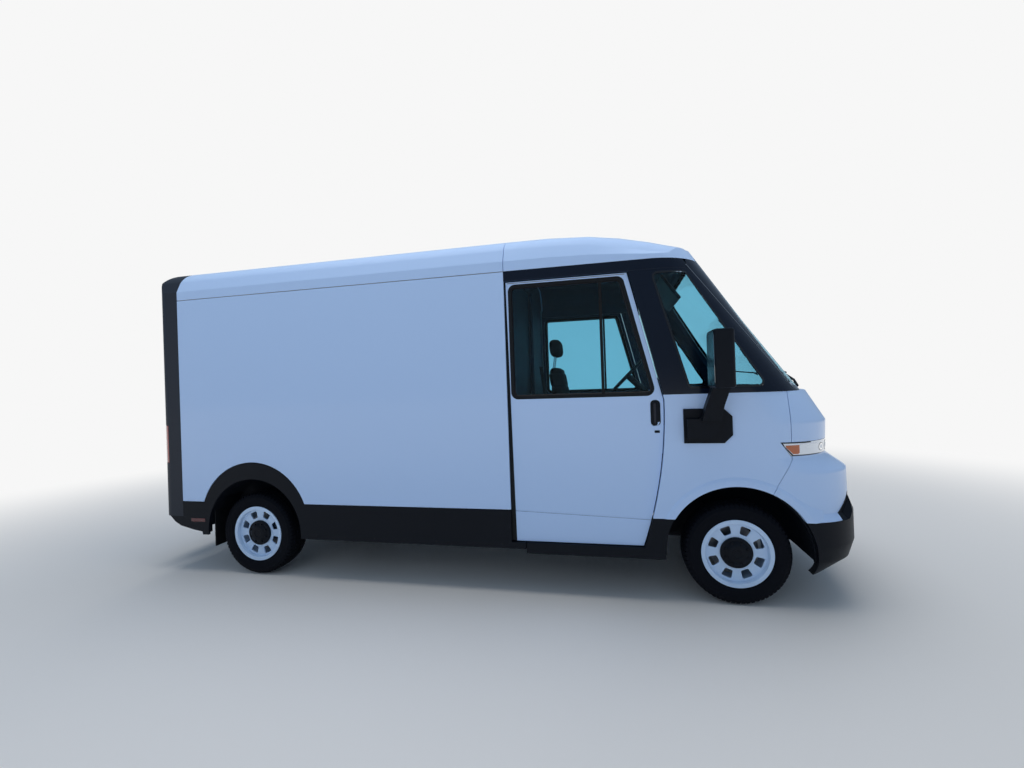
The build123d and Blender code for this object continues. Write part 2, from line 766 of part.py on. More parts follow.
# Sill panels below the cargo sides, with the arch surround and the floor of the door pocket
with BuildPart() as sill_panels:
    with BuildSketch(side_plane(SKIN_IN_Y)):
        with BuildLine():
            Polyline(
                (SILL_REACH_X, SILL_Z),
                (SILL_REACH_X, TREAD_Z),
                (PANEL_FRONT_X, TREAD_Z),
                (PANEL_FRONT_X, WAIST_Z - PANEL_GAP),
                (PANEL_REAR_X, WAIST_Z - PANEL_GAP),
                (PANEL_REAR_X, SILL_TAIL_Z),
                (REAR_AXLE_X - REAR_HOUSING_RADIUS, SILL_Z + SILL_TAIL_STEP),
                (REAR_AXLE_X, SILL_Z + SILL_TAIL_STEP),
                (REAR_AXLE_X, SILL_Z),
                close=True,
            )
        make_face()
        with Locations((REAR_AXLE_X, SURROUND_Z)):
            Circle(SURROUND_RADIUS - PANEL_GAP)
        with Locations((REAR_AXLE_X, SILL_Z - SURROUND_RADIUS)):
            Rectangle(2 * SURROUND_RADIUS, 2 * SURROUND_RADIUS, mode=Mode.SUBTRACT)
        with Locations((REAR_AXLE_X, REAR_ARCH_Z)):
            Circle(REAR_HOUSING_RADIUS, mode=Mode.SUBTRACT)
    extrude(amount=SKIN)
    block((POCKET_REAR_X, SILL_REACH_X), (-SKIN_IN_Y, -LINING_IN_Y), (SILL_Z, TREAD_Z))
    block((REAR_SILL_X, POCKET_REAR_X), (-SKIN_IN_Y, -LINING_IN_Y), (SILL_Z, WAIST_Z))
    mirror(about=Plane.XZ)
sill_panels.part.label = "sill_panels"
export_step(sill_panels.part, "parts/sill_panels.step")

# Cargo roof
with BuildPart() as roof_panel:
    extrude(roof_section(PANEL_REAR_X, 0), amount=ROOF_SEAM_X - PANEL_GAP - PANEL_REAR_X)
    extrude(
        roof_section(PANEL_REAR_X, ROOF_THICKNESS),
        amount=ROOF_SEAM_X - PANEL_REAR_X,
        mode=Mode.SUBTRACT,
    )
    split(bisect_by=Plane.XY.offset(EAVE_Z), keep=Keep.TOP)
roof_panel.part.label = "roof_panel"
export_step(roof_panel.part, "parts/roof_panel.step")

# Cab roof cap, arched over the windscreen
with BuildPart() as roof_cap:
    add(upper_outer)
    add(upper_inner, mode=Mode.SUBTRACT)
    split(bisect_by=Plane.XY.offset(EAVE_Z), keep=Keep.TOP)
    split(bisect_by=Plane.YZ.offset(ROOF_SEAM_X), keep=Keep.TOP)
    extrude(screen_outline(0), amount=FRONT_X, mode=Mode.SUBTRACT)
roof_cap.part.label = "roof_cap"
export_step(roof_cap.part, "parts/roof_cap.step")

# Rear frame round the doorway, with round corners in plan and at the top
with BuildPart() as rear_shape:
    extrude(roof_section(REAR_X, 0, REAR_FRAME_LOW_Z), amount=PANEL_REAR_X - REAR_X)
    with BuildSketch(Plane.XY) as plan:
        with Locations(((REAR_X + PANEL_REAR_X) / 2, 0)):
            Rectangle(REAR_FRAME_LENGTH, 2 * HALF_WIDTH)
        fillet(plan.vertices().group_by(Axis.X)[0], REAR_CORNER)
    extrude(amount=CROWN_Z, mode=Mode.INTERSECT)
    with BuildSketch(Plane.XZ):
        with BuildLine():
            Polyline(
                (REAR_X, CROWN_Z - REAR_TOP_FALL),
                (REAR_X, 0),
                (PANEL_REAR_X, 0),
                (PANEL_REAR_X, CROWN_Z),
                (REAR_X + REAR_TOP_DEPTH, CROWN_Z),
            )
            ThreePointArc(
                (REAR_X + REAR_TOP_DEPTH, CROWN_Z),
                (REAR_X + REAR_TOP_BULGE * REAR_TOP_DEPTH, CROWN_Z - REAR_TOP_BULGE * REAR_TOP_FALL),
                (REAR_X, CROWN_Z - REAR_TOP_FALL),
            )
        make_face()
    extrude(amount=HALF_WIDTH, both=True, mode=Mode.INTERSECT)
with BuildPart() as rear_frame:
    add(rear_shape.part)
    block(
        (REAR_X, REAR_X + REAR_DOOR_REBATE),
        (-DOORWAY_Y, DOORWAY_Y),
        (DOORWAY_LOW_Z, DOORWAY_TOP_Z),
        mode=Mode.SUBTRACT,
    )
    block(
        (REAR_X, PANEL_REAR_X),
        (-DOORWAY_Y + DOOR_STOP, DOORWAY_Y - DOOR_STOP),
        (DOORWAY_LOW_Z, DOORWAY_TOP_Z - DOOR_STOP),
        mode=Mode.SUBTRACT,
    )
    for side in (-1, 1):
        y_low, y_high = sorted((side * TAIL_LAMP_IN_Y, side * HALF_WIDTH))
        block(
            (REAR_X, REAR_X + TAIL_LAMP_DEPTH),
            (y_low, y_high),
            (TAIL_LAMP_LOW_Z, TAIL_LAMP_TOP_Z),
            mode=Mode.SUBTRACT,
        )
    with BuildSketch(Plane.YZ.offset(REAR_X)):
        for side in (-1, 1):
            with Locations((side * PLATE_SPACING / 2, PLATE_Z)):
                Circle(PLATE_HOLE_RADIUS)
    extrude(amount=PLATE_HOLE_DEPTH, mode=Mode.SUBTRACT)
    for hinge_z in HINGE_HEIGHTS:
        for side in (-1, 1):
            with Locations((HINGE_X, side * HINGE_Y, hinge_z)):
                Cylinder(HINGE_PIN_RADIUS, HINGE_LENGTH)
            for barrel_z in (hinge_z - HINGE_LENGTH / 3, hinge_z + HINGE_LENGTH / 3):
                with Locations((HINGE_X, side * HINGE_Y, barrel_z)):
                    Cylinder(HINGE_RADIUS, HINGE_LENGTH / 3 - HINGE_END_GAP)
                with Locations((HINGE_X, side * (HINGE_Y + HINGE_LEAF / 2), barrel_z)):
                    Box(2 * (REAR_X - HINGE_X), HINGE_LEAF, HINGE_LENGTH / 3 - HINGE_END_GAP)
rear_frame.part.label = "rear_frame"
export_step(rear_frame.part, "parts/rear_frame.step")

# Tail lamps, flush in the corners of the rear frame
with BuildPart() as tail_lamps:
    add(rear_shape.part)
    block(
        (REAR_X, REAR_X + TAIL_LAMP_DEPTH),
        (-HALF_WIDTH, -TAIL_LAMP_IN_Y - LAMP_GAP),
        (TAIL_LAMP_LOW_Z + LAMP_GAP, TAIL_LAMP_TOP_Z - LAMP_GAP),
        mode=Mode.INTERSECT,
    )
    mirror(about=Plane.XZ)
tail_lamps.part.label = "tail_lamps"
export_step(tail_lamps.part, "parts/tail_lamps.step")

# Rear doors with their hinge leaves, and their glass
REAR_DOOR_OUT_Y = DOORWAY_Y - RUN_GAP
with BuildPart() as rear_door:
    block(
        (REAR_X, REAR_X + REAR_DOOR_THICKNESS),
        (-REAR_DOOR_OUT_Y, -RUN_GAP / 2),
        (DOORWAY_LOW_Z + RUN_GAP, DOORWAY_TOP_Z - RUN_GAP),
    )
    with BuildSketch(Plane.YZ.offset(REAR_X)):
        with Locations((-REAR_WINDOW_Y, REAR_WINDOW_Z)):
            RectangleRounded(REAR_WINDOW_WIDTH, REAR_WINDOW_HEIGHT, REAR_WINDOW_CORNER)
    extrude(amount=REAR_DOOR_THICKNESS, mode=Mode.SUBTRACT)
    for hinge_z in HINGE_HEIGHTS:
        with Locations((HINGE_X, -HINGE_Y, hinge_z)):
            Cylinder(HINGE_RADIUS, HINGE_LENGTH / 3 - HINGE_END_GAP)
        with Locations(((HINGE_X + REAR_X) / 2, -HINGE_Y + HINGE_LEAF, hinge_z)):
            Box(REAR_X - HINGE_X, 2 * HINGE_LEAF, HINGE_LENGTH / 3 - HINGE_END_GAP)
        with Locations((HINGE_X, -HINGE_Y, hinge_z)):
            Cylinder(HINGE_PIN_RADIUS + SEAT_GAP, HINGE_LENGTH / 3, mode=Mode.SUBTRACT)
save_pair(rear_door.part, "rear_door")

with BuildPart() as rear_door_glass:
    with BuildSketch(Plane.YZ.offset(REAR_X + REAR_DOOR_THICKNESS / 2)):
        with Locations((-REAR_WINDOW_Y, REAR_WINDOW_Z)):
            RectangleRounded(REAR_WINDOW_WIDTH, REAR_WINDOW_HEIGHT, REAR_WINDOW_CORNER)
    extrude(amount=GLASS)
save_pair(rear_door_glass.part, "rear_door_glass")

# Rear step on two brackets under the chassis rails
with BuildPart() as rear_step:
    with BuildSketch(Plane.XY.offset(REAR_STEP_Z)) as step_plan:
        with Locations(((REAR_STEP_X + REAR_STEP_FRONT_X) / 2, 0)):
            Rectangle(REAR_STEP_FRONT_X - REAR_STEP_X, 2 * REAR_STEP_Y)
        fillet(step_plan.vertices().group_by(Axis.X)[0], STEP_CORNER)
    extrude(amount=-REAR_STEP_THICKNESS)
    for side in (-1, 1):
        y_low, y_high = (side * RAIL_NARROW_Y - RAIL_WIDTH / 2, side * RAIL_NARROW_Y + RAIL_WIDTH / 2)
        block(
            (REAR_STEP_FRONT_X - STEP_CORNER, PANEL_REAR_X + STEP_BRACKET),
            (y_low, y_high),
            (REAR_STEP_Z - REAR_STEP_THICKNESS, REAR_STEP_Z),
        )
rear_step.part.label = "rear_step"
export_step(rear_step.part, "parts/rear_step.step")

def handle_outline(distance, inset):
    """Side view of the recessed door handle, with round corners."""
    with BuildSketch(side_plane(distance)) as outline:
        with Locations((sum(HANDLE_X) / 2, sum(HANDLE_Z) / 2)):
            RectangleRounded(
                HANDLE_X[1] - HANDLE_X[0] - 2 * inset,
                HANDLE_Z[1] - HANDLE_Z[0] - 2 * inset,
                HANDLE_CORNER - inset,
            )
    return outline.sketch


def seal_outline(distance):
    """Side view of the rubber seal on the rear edge of the door."""
    with BuildSketch(side_plane(distance)) as outline:
        with BuildLine():
            Polyline(
                (DOOR_REAR_X, DOOR_LOW_Z),
                (DOOR_SEAL_LOW_X, DOOR_LOW_Z),
                (DOOR_SEAL_TOP_X, DOOR_TOP_Z),
                (DOOR_REAR_X, DOOR_TOP_Z),
                close=True,
            )
        make_face()
    return outline.sketch


# Sliding side door: full thickness, window cut, groove for the tongue, recess for the handle
with BuildPart() as side_door:
    extrude(door_outline(DOOR_IN_Y, 0), amount=DOOR_THICKNESS)
    extrude(window_outline(DOOR_IN_Y, 0), amount=DOOR_THICKNESS, mode=Mode.SUBTRACT)
    block(
        (DOOR_REAR_X, DOOR_FRONT_BELT_X),
        (-TONGUE_Y - TONGUE_WIDTH / 2 - SEAT_GAP, -TONGUE_Y + TONGUE_WIDTH / 2 + SEAT_GAP),
        (DOOR_TOP_Z - TONGUE_DEPTH - RUN_GAP, DOOR_TOP_Z),
        mode=Mode.SUBTRACT,
    )
    extrude(handle_outline(DOOR_OUT_Y - HANDLE_DEPTH, 0), amount=HANDLE_DEPTH, mode=Mode.SUBTRACT)
    extrude(seal_outline(DOOR_OUT_Y - SEAL_DEPTH), amount=SEAL_DEPTH, mode=Mode.SUBTRACT)
    with BuildSketch(side_plane(DOOR_OUT_Y - DOOR_CREASE_DEPTH)):
        with BuildLine():
            Polyline(
                (DOOR_REAR_X, DOOR_CREASE_REAR_Z),
                (DOOR_FRONT_BELT_X, DOOR_CREASE_FRONT_Z),
                (DOOR_FRONT_BELT_X, DOOR_CREASE_FRONT_Z + DOOR_CREASE_WIDTH),
                (DOOR_REAR_X, DOOR_CREASE_REAR_Z + DOOR_CREASE_WIDTH),
                close=True,
            )
        make_face()
    extrude(amount=DOOR_CREASE_DEPTH, mode=Mode.SUBTRACT)
save_pair(side_door.part, "side_door")

# Black trim of the side door: window rubber with its divider, rear seal and handle
with BuildPart() as side_door_trim:
    extrude(window_outline(DOOR_IN_Y + SEAL_DEPTH, 0), amount=DOOR_THICKNESS - SEAL_DEPTH)
    extrude(
        window_outline(DOOR_IN_Y + SEAL_DEPTH, WINDOW_RUBBER),
        amount=DOOR_THICKNESS - SEAL_DEPTH,
        mode=Mode.SUBTRACT,
    )
    block(
        (DIVIDER_X, DIVIDER_X + DIVIDER_WIDTH),
        (-DOOR_OUT_Y + SEAL_DEPTH, -DOOR_OUT_Y + 2 * SEAL_DEPTH),
        (WINDOW_LOW_Z + WINDOW_RUBBER, WINDOW_TOP_Z - WINDOW_RUBBER),
    )
    extrude(seal_outline(DOOR_OUT_Y - SEAL_DEPTH), amount=SEAL_DEPTH)
    extrude(handle_outline(DOOR_OUT_Y - HANDLE_DEPTH, HANDLE_MARGIN), amount=HANDLE_DEPTH - HANDLE_MARGIN)
save_pair(side_door_trim.part, "side_door_trim")

with BuildPart() as side_door_glass:
    extrude(window_outline(DOOR_OUT_Y - 2 * SEAL_DEPTH - GLASS, WINDOW_RUBBER), amount=GLASS)
save_pair(side_door_glass.part, "side_door_glass")

# Screen pillars: from the door edge round to the windscreen, with the quarter window cut
with BuildPart() as cab_pillars:
    add(upper_outer)
    add(upper_inner, mode=Mode.SUBTRACT)
    split(bisect_by=Plane.XY.offset(EAVE_Z), keep=Keep.BOTTOM)
    split(bisect_by=Plane.XZ, keep=Keep.TOP)
    extrude(screen_outline(0), amount=FRONT_X, mode=Mode.SUBTRACT)
    block((BROW_START_X, FRONT_X), (-PILLAR_FOOT_Y, 0), (BELT_Z, EAVE_Z), mode=Mode.SUBTRACT)
    extrude(door_outline(0, RUN_GAP), amount=2 * HALF_WIDTH, mode=Mode.SUBTRACT)
    extrude(quarter_outline(0, 0), amount=2 * HALF_WIDTH, mode=Mode.SUBTRACT)
    block(
        (PANEL_FRONT_X, CANT_FRONT_X),
        (-HALF_WIDTH, 0),
        (CANT_LOW_Z, EAVE_Z),
        mode=Mode.SUBTRACT,
    )
    block(
        (PANEL_FRONT_X, DOOR_FRONT_TOP_X),
        (-HALF_WIDTH, 0),
        (BELT_Z, CANT_LOW_Z),
        mode=Mode.SUBTRACT,
    )
    mirror(about=Plane.XZ)
cab_pillars.part.label = "cab_pillars"
export_step(cab_pillars.part, "parts/cab_pillars.step")

with BuildPart() as windscreen:
    add(upper_outer)
    add(upper_glass, mode=Mode.SUBTRACT)
    extrude(screen_outline(0), amount=FRONT_X, mode=Mode.INTERSECT)
windscreen.part.label = "windscreen"
export_step(windscreen.part, "parts/windscreen.step")

with BuildPart() as quarter_glass:
    add(upper_outer)
    add(upper_glass, mode=Mode.SUBTRACT)
    extrude(quarter_outline(0, 0), amount=2 * HALF_WIDTH, mode=Mode.INTERSECT)
    mirror(about=Plane.XZ)
quarter_glass.part.label = "quarter_glass"
export_step(quarter_glass.part, "parts/quarter_glass.step")

# Front fenders, from the door edge to the nose seam, with the wheel arch and the lamp cut
with BuildPart() as fenders:
    add(nose_outer)
    add(nose_inner, mode=Mode.SUBTRACT)
    split(bisect_by=Plane.XZ, keep=Keep.TOP)
    add(nose_region(0), mode=Mode.SUBTRACT)
    extrude(door_outline(0, RUN_GAP), amount=2 * HALF_WIDTH, mode=Mode.SUBTRACT)
    extrude(circle_at(0, ARCH_X, ARCH_Z, ARCH_RADIUS), amount=2 * HALF_WIDTH, mode=Mode.SUBTRACT)
    extrude(lamp_outline(0, LAMP_GAP), amount=2 * HALF_WIDTH, mode=Mode.SUBTRACT)
    mirror(about=Plane.XZ)
fenders.part.label = "fenders"
export_step(fenders.part, "parts/fenders.step")

# Nose: upper face, lamp shelf and lower fascia
with BuildPart() as nose_panel:
    add(nose_outer)
    add(nose_inner, mode=Mode.SUBTRACT)
    add(nose_region(PANEL_GAP), mode=Mode.INTERSECT)
    for side in (-1, 1):
        extrude(lamp_outline(side * LAMP_IN_Y, LAMP_GAP), amount=side * HALF_WIDTH, mode=Mode.SUBTRACT)
    extrude(circle_at(0, ARCH_X, ARCH_Z, ARCH_RADIUS), amount=2 * HALF_WIDTH, both=True, mode=Mode.SUBTRACT)
nose_panel.part.label = "nose_panel"
export_step(nose_panel.part, "parts/nose_panel.step")

with BuildPart() as headlamps:
    add(nose_outer)
    add(nose_inner, mode=Mode.SUBTRACT)
    extrude(lamp_outline(LAMP_IN_Y, 0), amount=HALF_WIDTH, mode=Mode.INTERSECT)
    mirror(about=Plane.XZ)
headlamps.part.label = "headlamps"
export_step(headlamps.part, "parts/headlamps.step")

# Front bumper, with the arch ends and the grille opening
with BuildPart() as front_bumper:
    add(front_body(BUMPER_SECTIONS, 0))
    add(front_body(BUMPER_SECTIONS, BUMPER_WALL), mode=Mode.SUBTRACT)
    split(bisect_by=Plane.YZ.offset(ARCH_X), keep=Keep.TOP)
    add(nose_outer, mode=Mode.SUBTRACT)
    extrude(circle_at(0, ARCH_X, ARCH_Z, ARCH_RADIUS), amount=HALF_WIDTH, both=True, mode=Mode.SUBTRACT)
    with BuildSketch(Plane.YZ.offset(ARCH_X)):
        with BuildLine():
            Polyline(
                (HALF_WIDTH - BUMPER_LIP_IN, EAVE_Z),
                (HALF_WIDTH - BUMPER_LIP_IN, BUMPER_LIP_TOP_Z),
                (HALF_WIDTH - BUMPER_LIP_OUT, FASCIA_Z),
                (2 * HALF_WIDTH, FASCIA_Z),
                (2 * HALF_WIDTH, EAVE_Z),
                close=True,
            )
        make_face()
        mirror(about=Plane.YZ)
    extrude(amount=FRONT_X, mode=Mode.SUBTRACT)
    block((ARCH_X, FRONT_X), (-GRILLE_Y, GRILLE_Y), (GRILLE_LOW_Z, GRILLE_TOP_Z), mode=Mode.SUBTRACT)
front_bumper.part.label = "front_bumper"
export_step(front_bumper.part, "parts/front_bumper.step")

# Lower grille: curved bars that follow the bumper
with BuildPart() as lower_grille:
    add(front_body(BUMPER_SECTIONS, GRILLE_INSET))
    add(front_body(BUMPER_SECTIONS, BUMPER_WALL), mode=Mode.SUBTRACT)
    bar_pitch = (GRILLE_TOP_Z - GRILLE_LOW_Z) / GRILLE_BARS
    block((NOSE_SEAM_X, FRONT_X), (-GRILLE_Y, GRILLE_Y), (GRILLE_LOW_Z, GRILLE_TOP_Z), mode=Mode.INTERSECT)
    for row in range(GRILLE_BARS):
        gap_low = GRILLE_LOW_Z + row * bar_pitch + GRILLE_BAR / 2
        block(
            (ARCH_X, FRONT_X),
            (-GRILLE_Y + GRILLE_FRAME, GRILLE_Y - GRILLE_FRAME),
            (gap_low, gap_low + bar_pitch - GRILLE_BAR),
            mode=Mode.SUBTRACT,
        )
lower_grille.part.label = "lower_grille"
export_step(lower_grille.part, "parts/lower_grille.step")

# Cowl under the windscreen, carried by the nose
with BuildPart() as cowl:
    add(nose_inner)
    block(
        (FIREWALL_X, FRONT_X),
        (-HALF_WIDTH, HALF_WIDTH),
        (BELT_Z - COWL_THICKNESS, BELT_Z),
        mode=Mode.INTERSECT,
    )
cowl.part.label = "cowl"
export_step(cowl.part, "parts/cowl.step")

# Firewall between the wheel housings and the cab
with BuildPart() as firewall:
    add(nose_inner)
    block(
        (FIREWALL_X, FIREWALL_X + HOUSING),
        (-HALF_WIDTH, HALF_WIDTH),
        (RAIL_TOP_Z, BELT_Z - COWL_THICKNESS),
        mode=Mode.INTERSECT,
    )
    for centre_x, centre_z, radius, in_y, out_y, low_z in HOUSINGS:
        for side in (-1, 1):
            extrude(
                circle_at(side * in_y - side * HOUSING, centre_x, centre_z, radius),
                amount=side * HALF_WIDTH,
                mode=Mode.SUBTRACT,
            )
firewall.part.label = "firewall"
export_step(firewall.part, "parts/firewall.step")

# Mirrors: base plate and raised foot on the fender, slanted arm, tall head with round edges
with BuildPart() as mirror_head:
    head_y = HALF_WIDTH + MIRROR_HEAD_STAND + MIRROR_HEAD_WIDTH / 2
    with BuildSketch(Plane.XY.offset(MIRROR_HEAD_Z[0])):
        with Locations((sum(MIRROR_HEAD_X) / 2, -head_y)):
            RectangleRounded(MIRROR_HEAD_X[1] - MIRROR_HEAD_X[0], MIRROR_HEAD_WIDTH, MIRROR_HEAD_CORNER)
    extrude(amount=MIRROR_HEAD_Z[1] - MIRROR_HEAD_Z[0])
    flat_ends = mirror_head.faces().sort_by(Axis.Z)
    fillet(flat_ends[0].edges() + flat_ends[-1].edges(), MIRROR_HEAD_ROUND)

with BuildPart() as mirror_arm:
    for height, centre_x, stand, width, depth in MIRROR_ARM:
        with BuildSketch(Plane.XY.offset(height)):
            with Locations((centre_x, -HALF_WIDTH - stand)):
                Rectangle(width, depth)
    loft(ruled=True)

with BuildPart() as mirrors:
    with BuildSketch(side_plane(HALF_WIDTH)) as base_plate:
        with Locations((sum(MIRROR_BASE_X) / 2, sum(MIRROR_BASE_Z) / 2)):
            Rectangle(MIRROR_BASE_X[1] - MIRROR_BASE_X[0], MIRROR_BASE_Z[1] - MIRROR_BASE_Z[0])
        chamfer(base_plate.vertices().group_by(Axis.X)[-1], MIRROR_BASE_CHAMFER)
    extrude(amount=MIRROR_BASE_THICKNESS)
    with BuildSketch(side_plane(HALF_WIDTH + MIRROR_BASE_THICKNESS)):
        with BuildLine():
            Polyline(*MIRROR_FOOT, close=True)
        make_face()
    extrude(amount=MIRROR_FOOT_THICKNESS)
    add(mirror_arm.part)
    add(mirror_head.part)
    mirror(about=Plane.XZ)
mirrors.part.label = "mirrors"
export_step(mirrors.part, "parts/mirrors.step")

# Door steps: tread and riser inside the door, black sill outside, with the fender foot before it
with BuildPart() as door_steps:
    block((STEP_REAR_X, DOOR_FRONT_LOW_X), (-HALF_WIDTH, -STEP_IN_Y), (STEP_LOW_Z, TREAD_Z))
    block((STEP_REAR_X, DOOR_FRONT_LOW_X), (-STEP_IN_Y, -STEP_IN_Y + HOUSING), (STEP_LOW_Z, FLOOR_Z))
    for wall_x in (STEP_REAR_X, DOOR_FRONT_LOW_X - HOUSING):
        block((wall_x, wall_x + HOUSING), (-LINING_IN_Y, -STEP_IN_Y), (TREAD_Z, FLOOR_Z))
    with BuildSketch(side_plane(LINING_OUT_Y)):
        with BuildLine():
            Polyline(
                (DOOR_FRONT_LOW_X, STEP_LOW_Z),
                (ARCH_X - FOOT_ARCH_X, STEP_LOW_Z),
                (ARCH_X - FOOT_ARCH_X, FASCIA_Z),
                (DOOR_FRONT_LOW_X, FASCIA_Z),
                close=True,
            )
        make_face()
    extrude(amount=HALF_WIDTH - LINING_OUT_Y)
    extrude(circle_at(LINING_OUT_Y, ARCH_X, ARCH_Z, ARCH_RADIUS), amount=HALF_WIDTH, mode=Mode.SUBTRACT)
    extrude(door_outline(LINING_OUT_Y, RUN_GAP), amount=HALF_WIDTH, mode=Mode.SUBTRACT)
    mirror(about=Plane.XZ)
door_steps.part.label = "door_steps"
export_step(door_steps.part, "parts/door_steps.step")

# Wheel housings: half barrels with an inner wall
def make_housings(centre_x, centre_z, radius, in_y, out_y, low_z):
    """Right-hand housing of one axle and its mirror image."""
    with BuildPart() as housings:
        with BuildSketch(side_plane(in_y)):
            with Locations((centre_x, centre_z)):
                Circle(radius)
                Circle(radius - HOUSING, mode=Mode.SUBTRACT)
        extrude(amount=out_y - in_y)
        with BuildSketch(side_plane(in_y - HOUSING)):
            with Locations((centre_x, centre_z)):
                Circle(radius)
        extrude(amount=HOUSING)
        block((centre_x - radius, centre_x + radius), (-HALF_WIDTH, 0), (-radius, low_z), mode=Mode.SUBTRACT)
        block(
            (FRONT_AXLE_X - ARM_SLOT, FRONT_AXLE_X + ARM_SLOT),
            (-FRONT_HOUSING_IN_Y, -FRONT_HOUSING_IN_Y + HOUSING),
            (ARM_TOP_Z - ARM_THICKNESS, ARM_TOP_Z + 2 * ARM_THICKNESS),
            mode=Mode.SUBTRACT,
        )
        mirror(about=Plane.XZ)
    return housings.part


for name, housing in (("wheel_housings", FRONT_HOUSING), ("rear_wheel_housings", REAR_HOUSING)):
    housings = make_housings(*housing)
    housings.label = name
    export_step(housings, f"parts/{name}.step")

# Floor of the cargo space and the cab in one level
with BuildPart() as floor:
    block((PANEL_REAR_X, BULKHEAD_X), (-LINING_IN_Y, LINING_IN_Y), (RAIL_TOP_Z, FLOOR_Z))
    block((BULKHEAD_X, FIREWALL_X), (-STEP_IN_Y + HOUSING, STEP_IN_Y - HOUSING), (RAIL_TOP_Z, FLOOR_Z))
    block((BULKHEAD_X, STEP_REAR_X), (-LINING_IN_Y, LINING_IN_Y), (RAIL_TOP_Z, FLOOR_Z))
    block((DOOR_FRONT_LOW_X, ARCH_X), (-CAB_INNER_Y, CAB_INNER_Y), (RAIL_TOP_Z, FLOOR_Z))
    for side in (-1, 1):
        for centre_x, centre_z, radius, in_y, out_y, low_z in HOUSINGS:
            y_low, y_high = sorted((side * (in_y - HOUSING), side * HALF_WIDTH))
            with BuildSketch(Plane.XZ.offset(-y_low)):
                with Locations((centre_x, centre_z)):
                    Circle(radius)
            extrude(amount=y_low - y_high, mode=Mode.SUBTRACT)
        extrude(door_outline(side * LINING_OUT_Y, RUN_GAP), amount=side * HALF_WIDTH, mode=Mode.SUBTRACT)
floor.part.label = "floor"
export_step(floor.part, "parts/floor.step")

# Bulkhead with its doorway and the tongue over it
with BuildPart() as bulkhead:
    extrude(roof_section(BULKHEAD_X, ROOF_THICKNESS, FLOOR_Z), amount=BULKHEAD_THICKNESS)
    for side in (-1, 1):
        y_low, y_high = sorted((side * LINING_IN_Y, side * HALF_WIDTH))
        block((BULKHEAD_X, PANEL_FRONT_X), (y_low, y_high), (FLOOR_Z, EAVE_Z), mode=Mode.SUBTRACT)
    block(
        (BULKHEAD_X, PANEL_FRONT_X),
        (-BULKHEAD_DOOR_HALF, BULKHEAD_DOOR_HALF),
        (FLOOR_Z, BULKHEAD_DOOR_TOP_Z - BULKHEAD_DOOR_LAP),
        mode=Mode.SUBTRACT,
    )
    block(
        (BULKHEAD_TONGUE_X - TONGUE_WIDTH / 2, BULKHEAD_X),
        (-BULKHEAD_DOOR_HALF, LINING_IN_Y - BULKHEAD_DOOR_LAP),
        (BULKHEAD_DOOR_TOP_Z + RUN_GAP, BULKHEAD_DOOR_TOP_Z + RUN_GAP + TONGUE_WIDTH),
    )
    block(
        (BULKHEAD_TONGUE_X - TONGUE_WIDTH / 2, BULKHEAD_TONGUE_X + TONGUE_WIDTH / 2),
        (-BULKHEAD_DOOR_HALF, LINING_IN_Y - BULKHEAD_DOOR_LAP),
        (BULKHEAD_DOOR_TOP_Z - TONGUE_DEPTH, BULKHEAD_DOOR_TOP_Z + RUN_GAP),
    )
bulkhead.part.label = "bulkhead"
export_step(bulkhead.part, "parts/bulkhead.step")

with BuildPart() as bulkhead_door:
    block(
        (BULKHEAD_X - RUN_GAP - BULKHEAD_DOOR_THICKNESS, BULKHEAD_X - RUN_GAP),
        (-BULKHEAD_DOOR_HALF - BULKHEAD_DOOR_LAP, BULKHEAD_DOOR_HALF + BULKHEAD_DOOR_LAP),
        (FLOOR_Z + RUN_GAP, BULKHEAD_DOOR_TOP_Z),
    )
    block(
        (BULKHEAD_TONGUE_X - TONGUE_WIDTH / 2 - SEAT_GAP, BULKHEAD_TONGUE_X + TONGUE_WIDTH / 2 + SEAT_GAP),
        (-HALF_WIDTH, HALF_WIDTH),
        (BULKHEAD_DOOR_TOP_Z - TONGUE_DEPTH - RUN_GAP, BULKHEAD_DOOR_TOP_Z),
        mode=Mode.SUBTRACT,
    )
bulkhead_door.part.label = "bulkhead_door"
export_step(bulkhead_door.part, "parts/bulkhead_door.step")

# Dashboard, from the firewall back towards the driver
with BuildPart() as dashboard:
    add(front_body(NOSE_SECTIONS, CAB_WALL + PANEL_GAP, NOSE_CORNER))
    with BuildSketch(Plane.XZ):
        with BuildLine():
            Polyline(
                (FIREWALL_X, DASH_LOW_Z),
                (FIREWALL_X, BELT_Z - COWL_THICKNESS),
                (DASH_REAR_X + 60, DASH_TOP_Z),
                (DASH_REAR_X, DASH_TOP_Z - 60),
                (DASH_REAR_X + 60, DASH_LOW_Z),
                close=True,
            )
        make_face()
    extrude(amount=HALF_WIDTH, both=True, mode=Mode.INTERSECT)
    with BuildSketch(Plane.XZ.offset(-SEAT_Y)):
        with BuildLine():
            Polyline(
                (HOOD_REAR_X, DASH_TOP_Z - HOOD_LEAN),
                (HOOD_REAR_X - HOOD_LEAN, HOOD_FACE_Z),
                (HOOD_REAR_X + HOOD_LEAN, HOOD_TOP_Z),
                (HOOD_FRONT_X, DASH_TOP_Z),
                (HOOD_FRONT_X, DASH_TOP_Z - HOOD_LEAN),
                close=True,
            )
        make_face()
    extrude(amount=HOOD_HALF_WIDTH, both=True)
dashboard.part.label = "dashboard"
export_step(dashboard.part, "parts/dashboard.step")

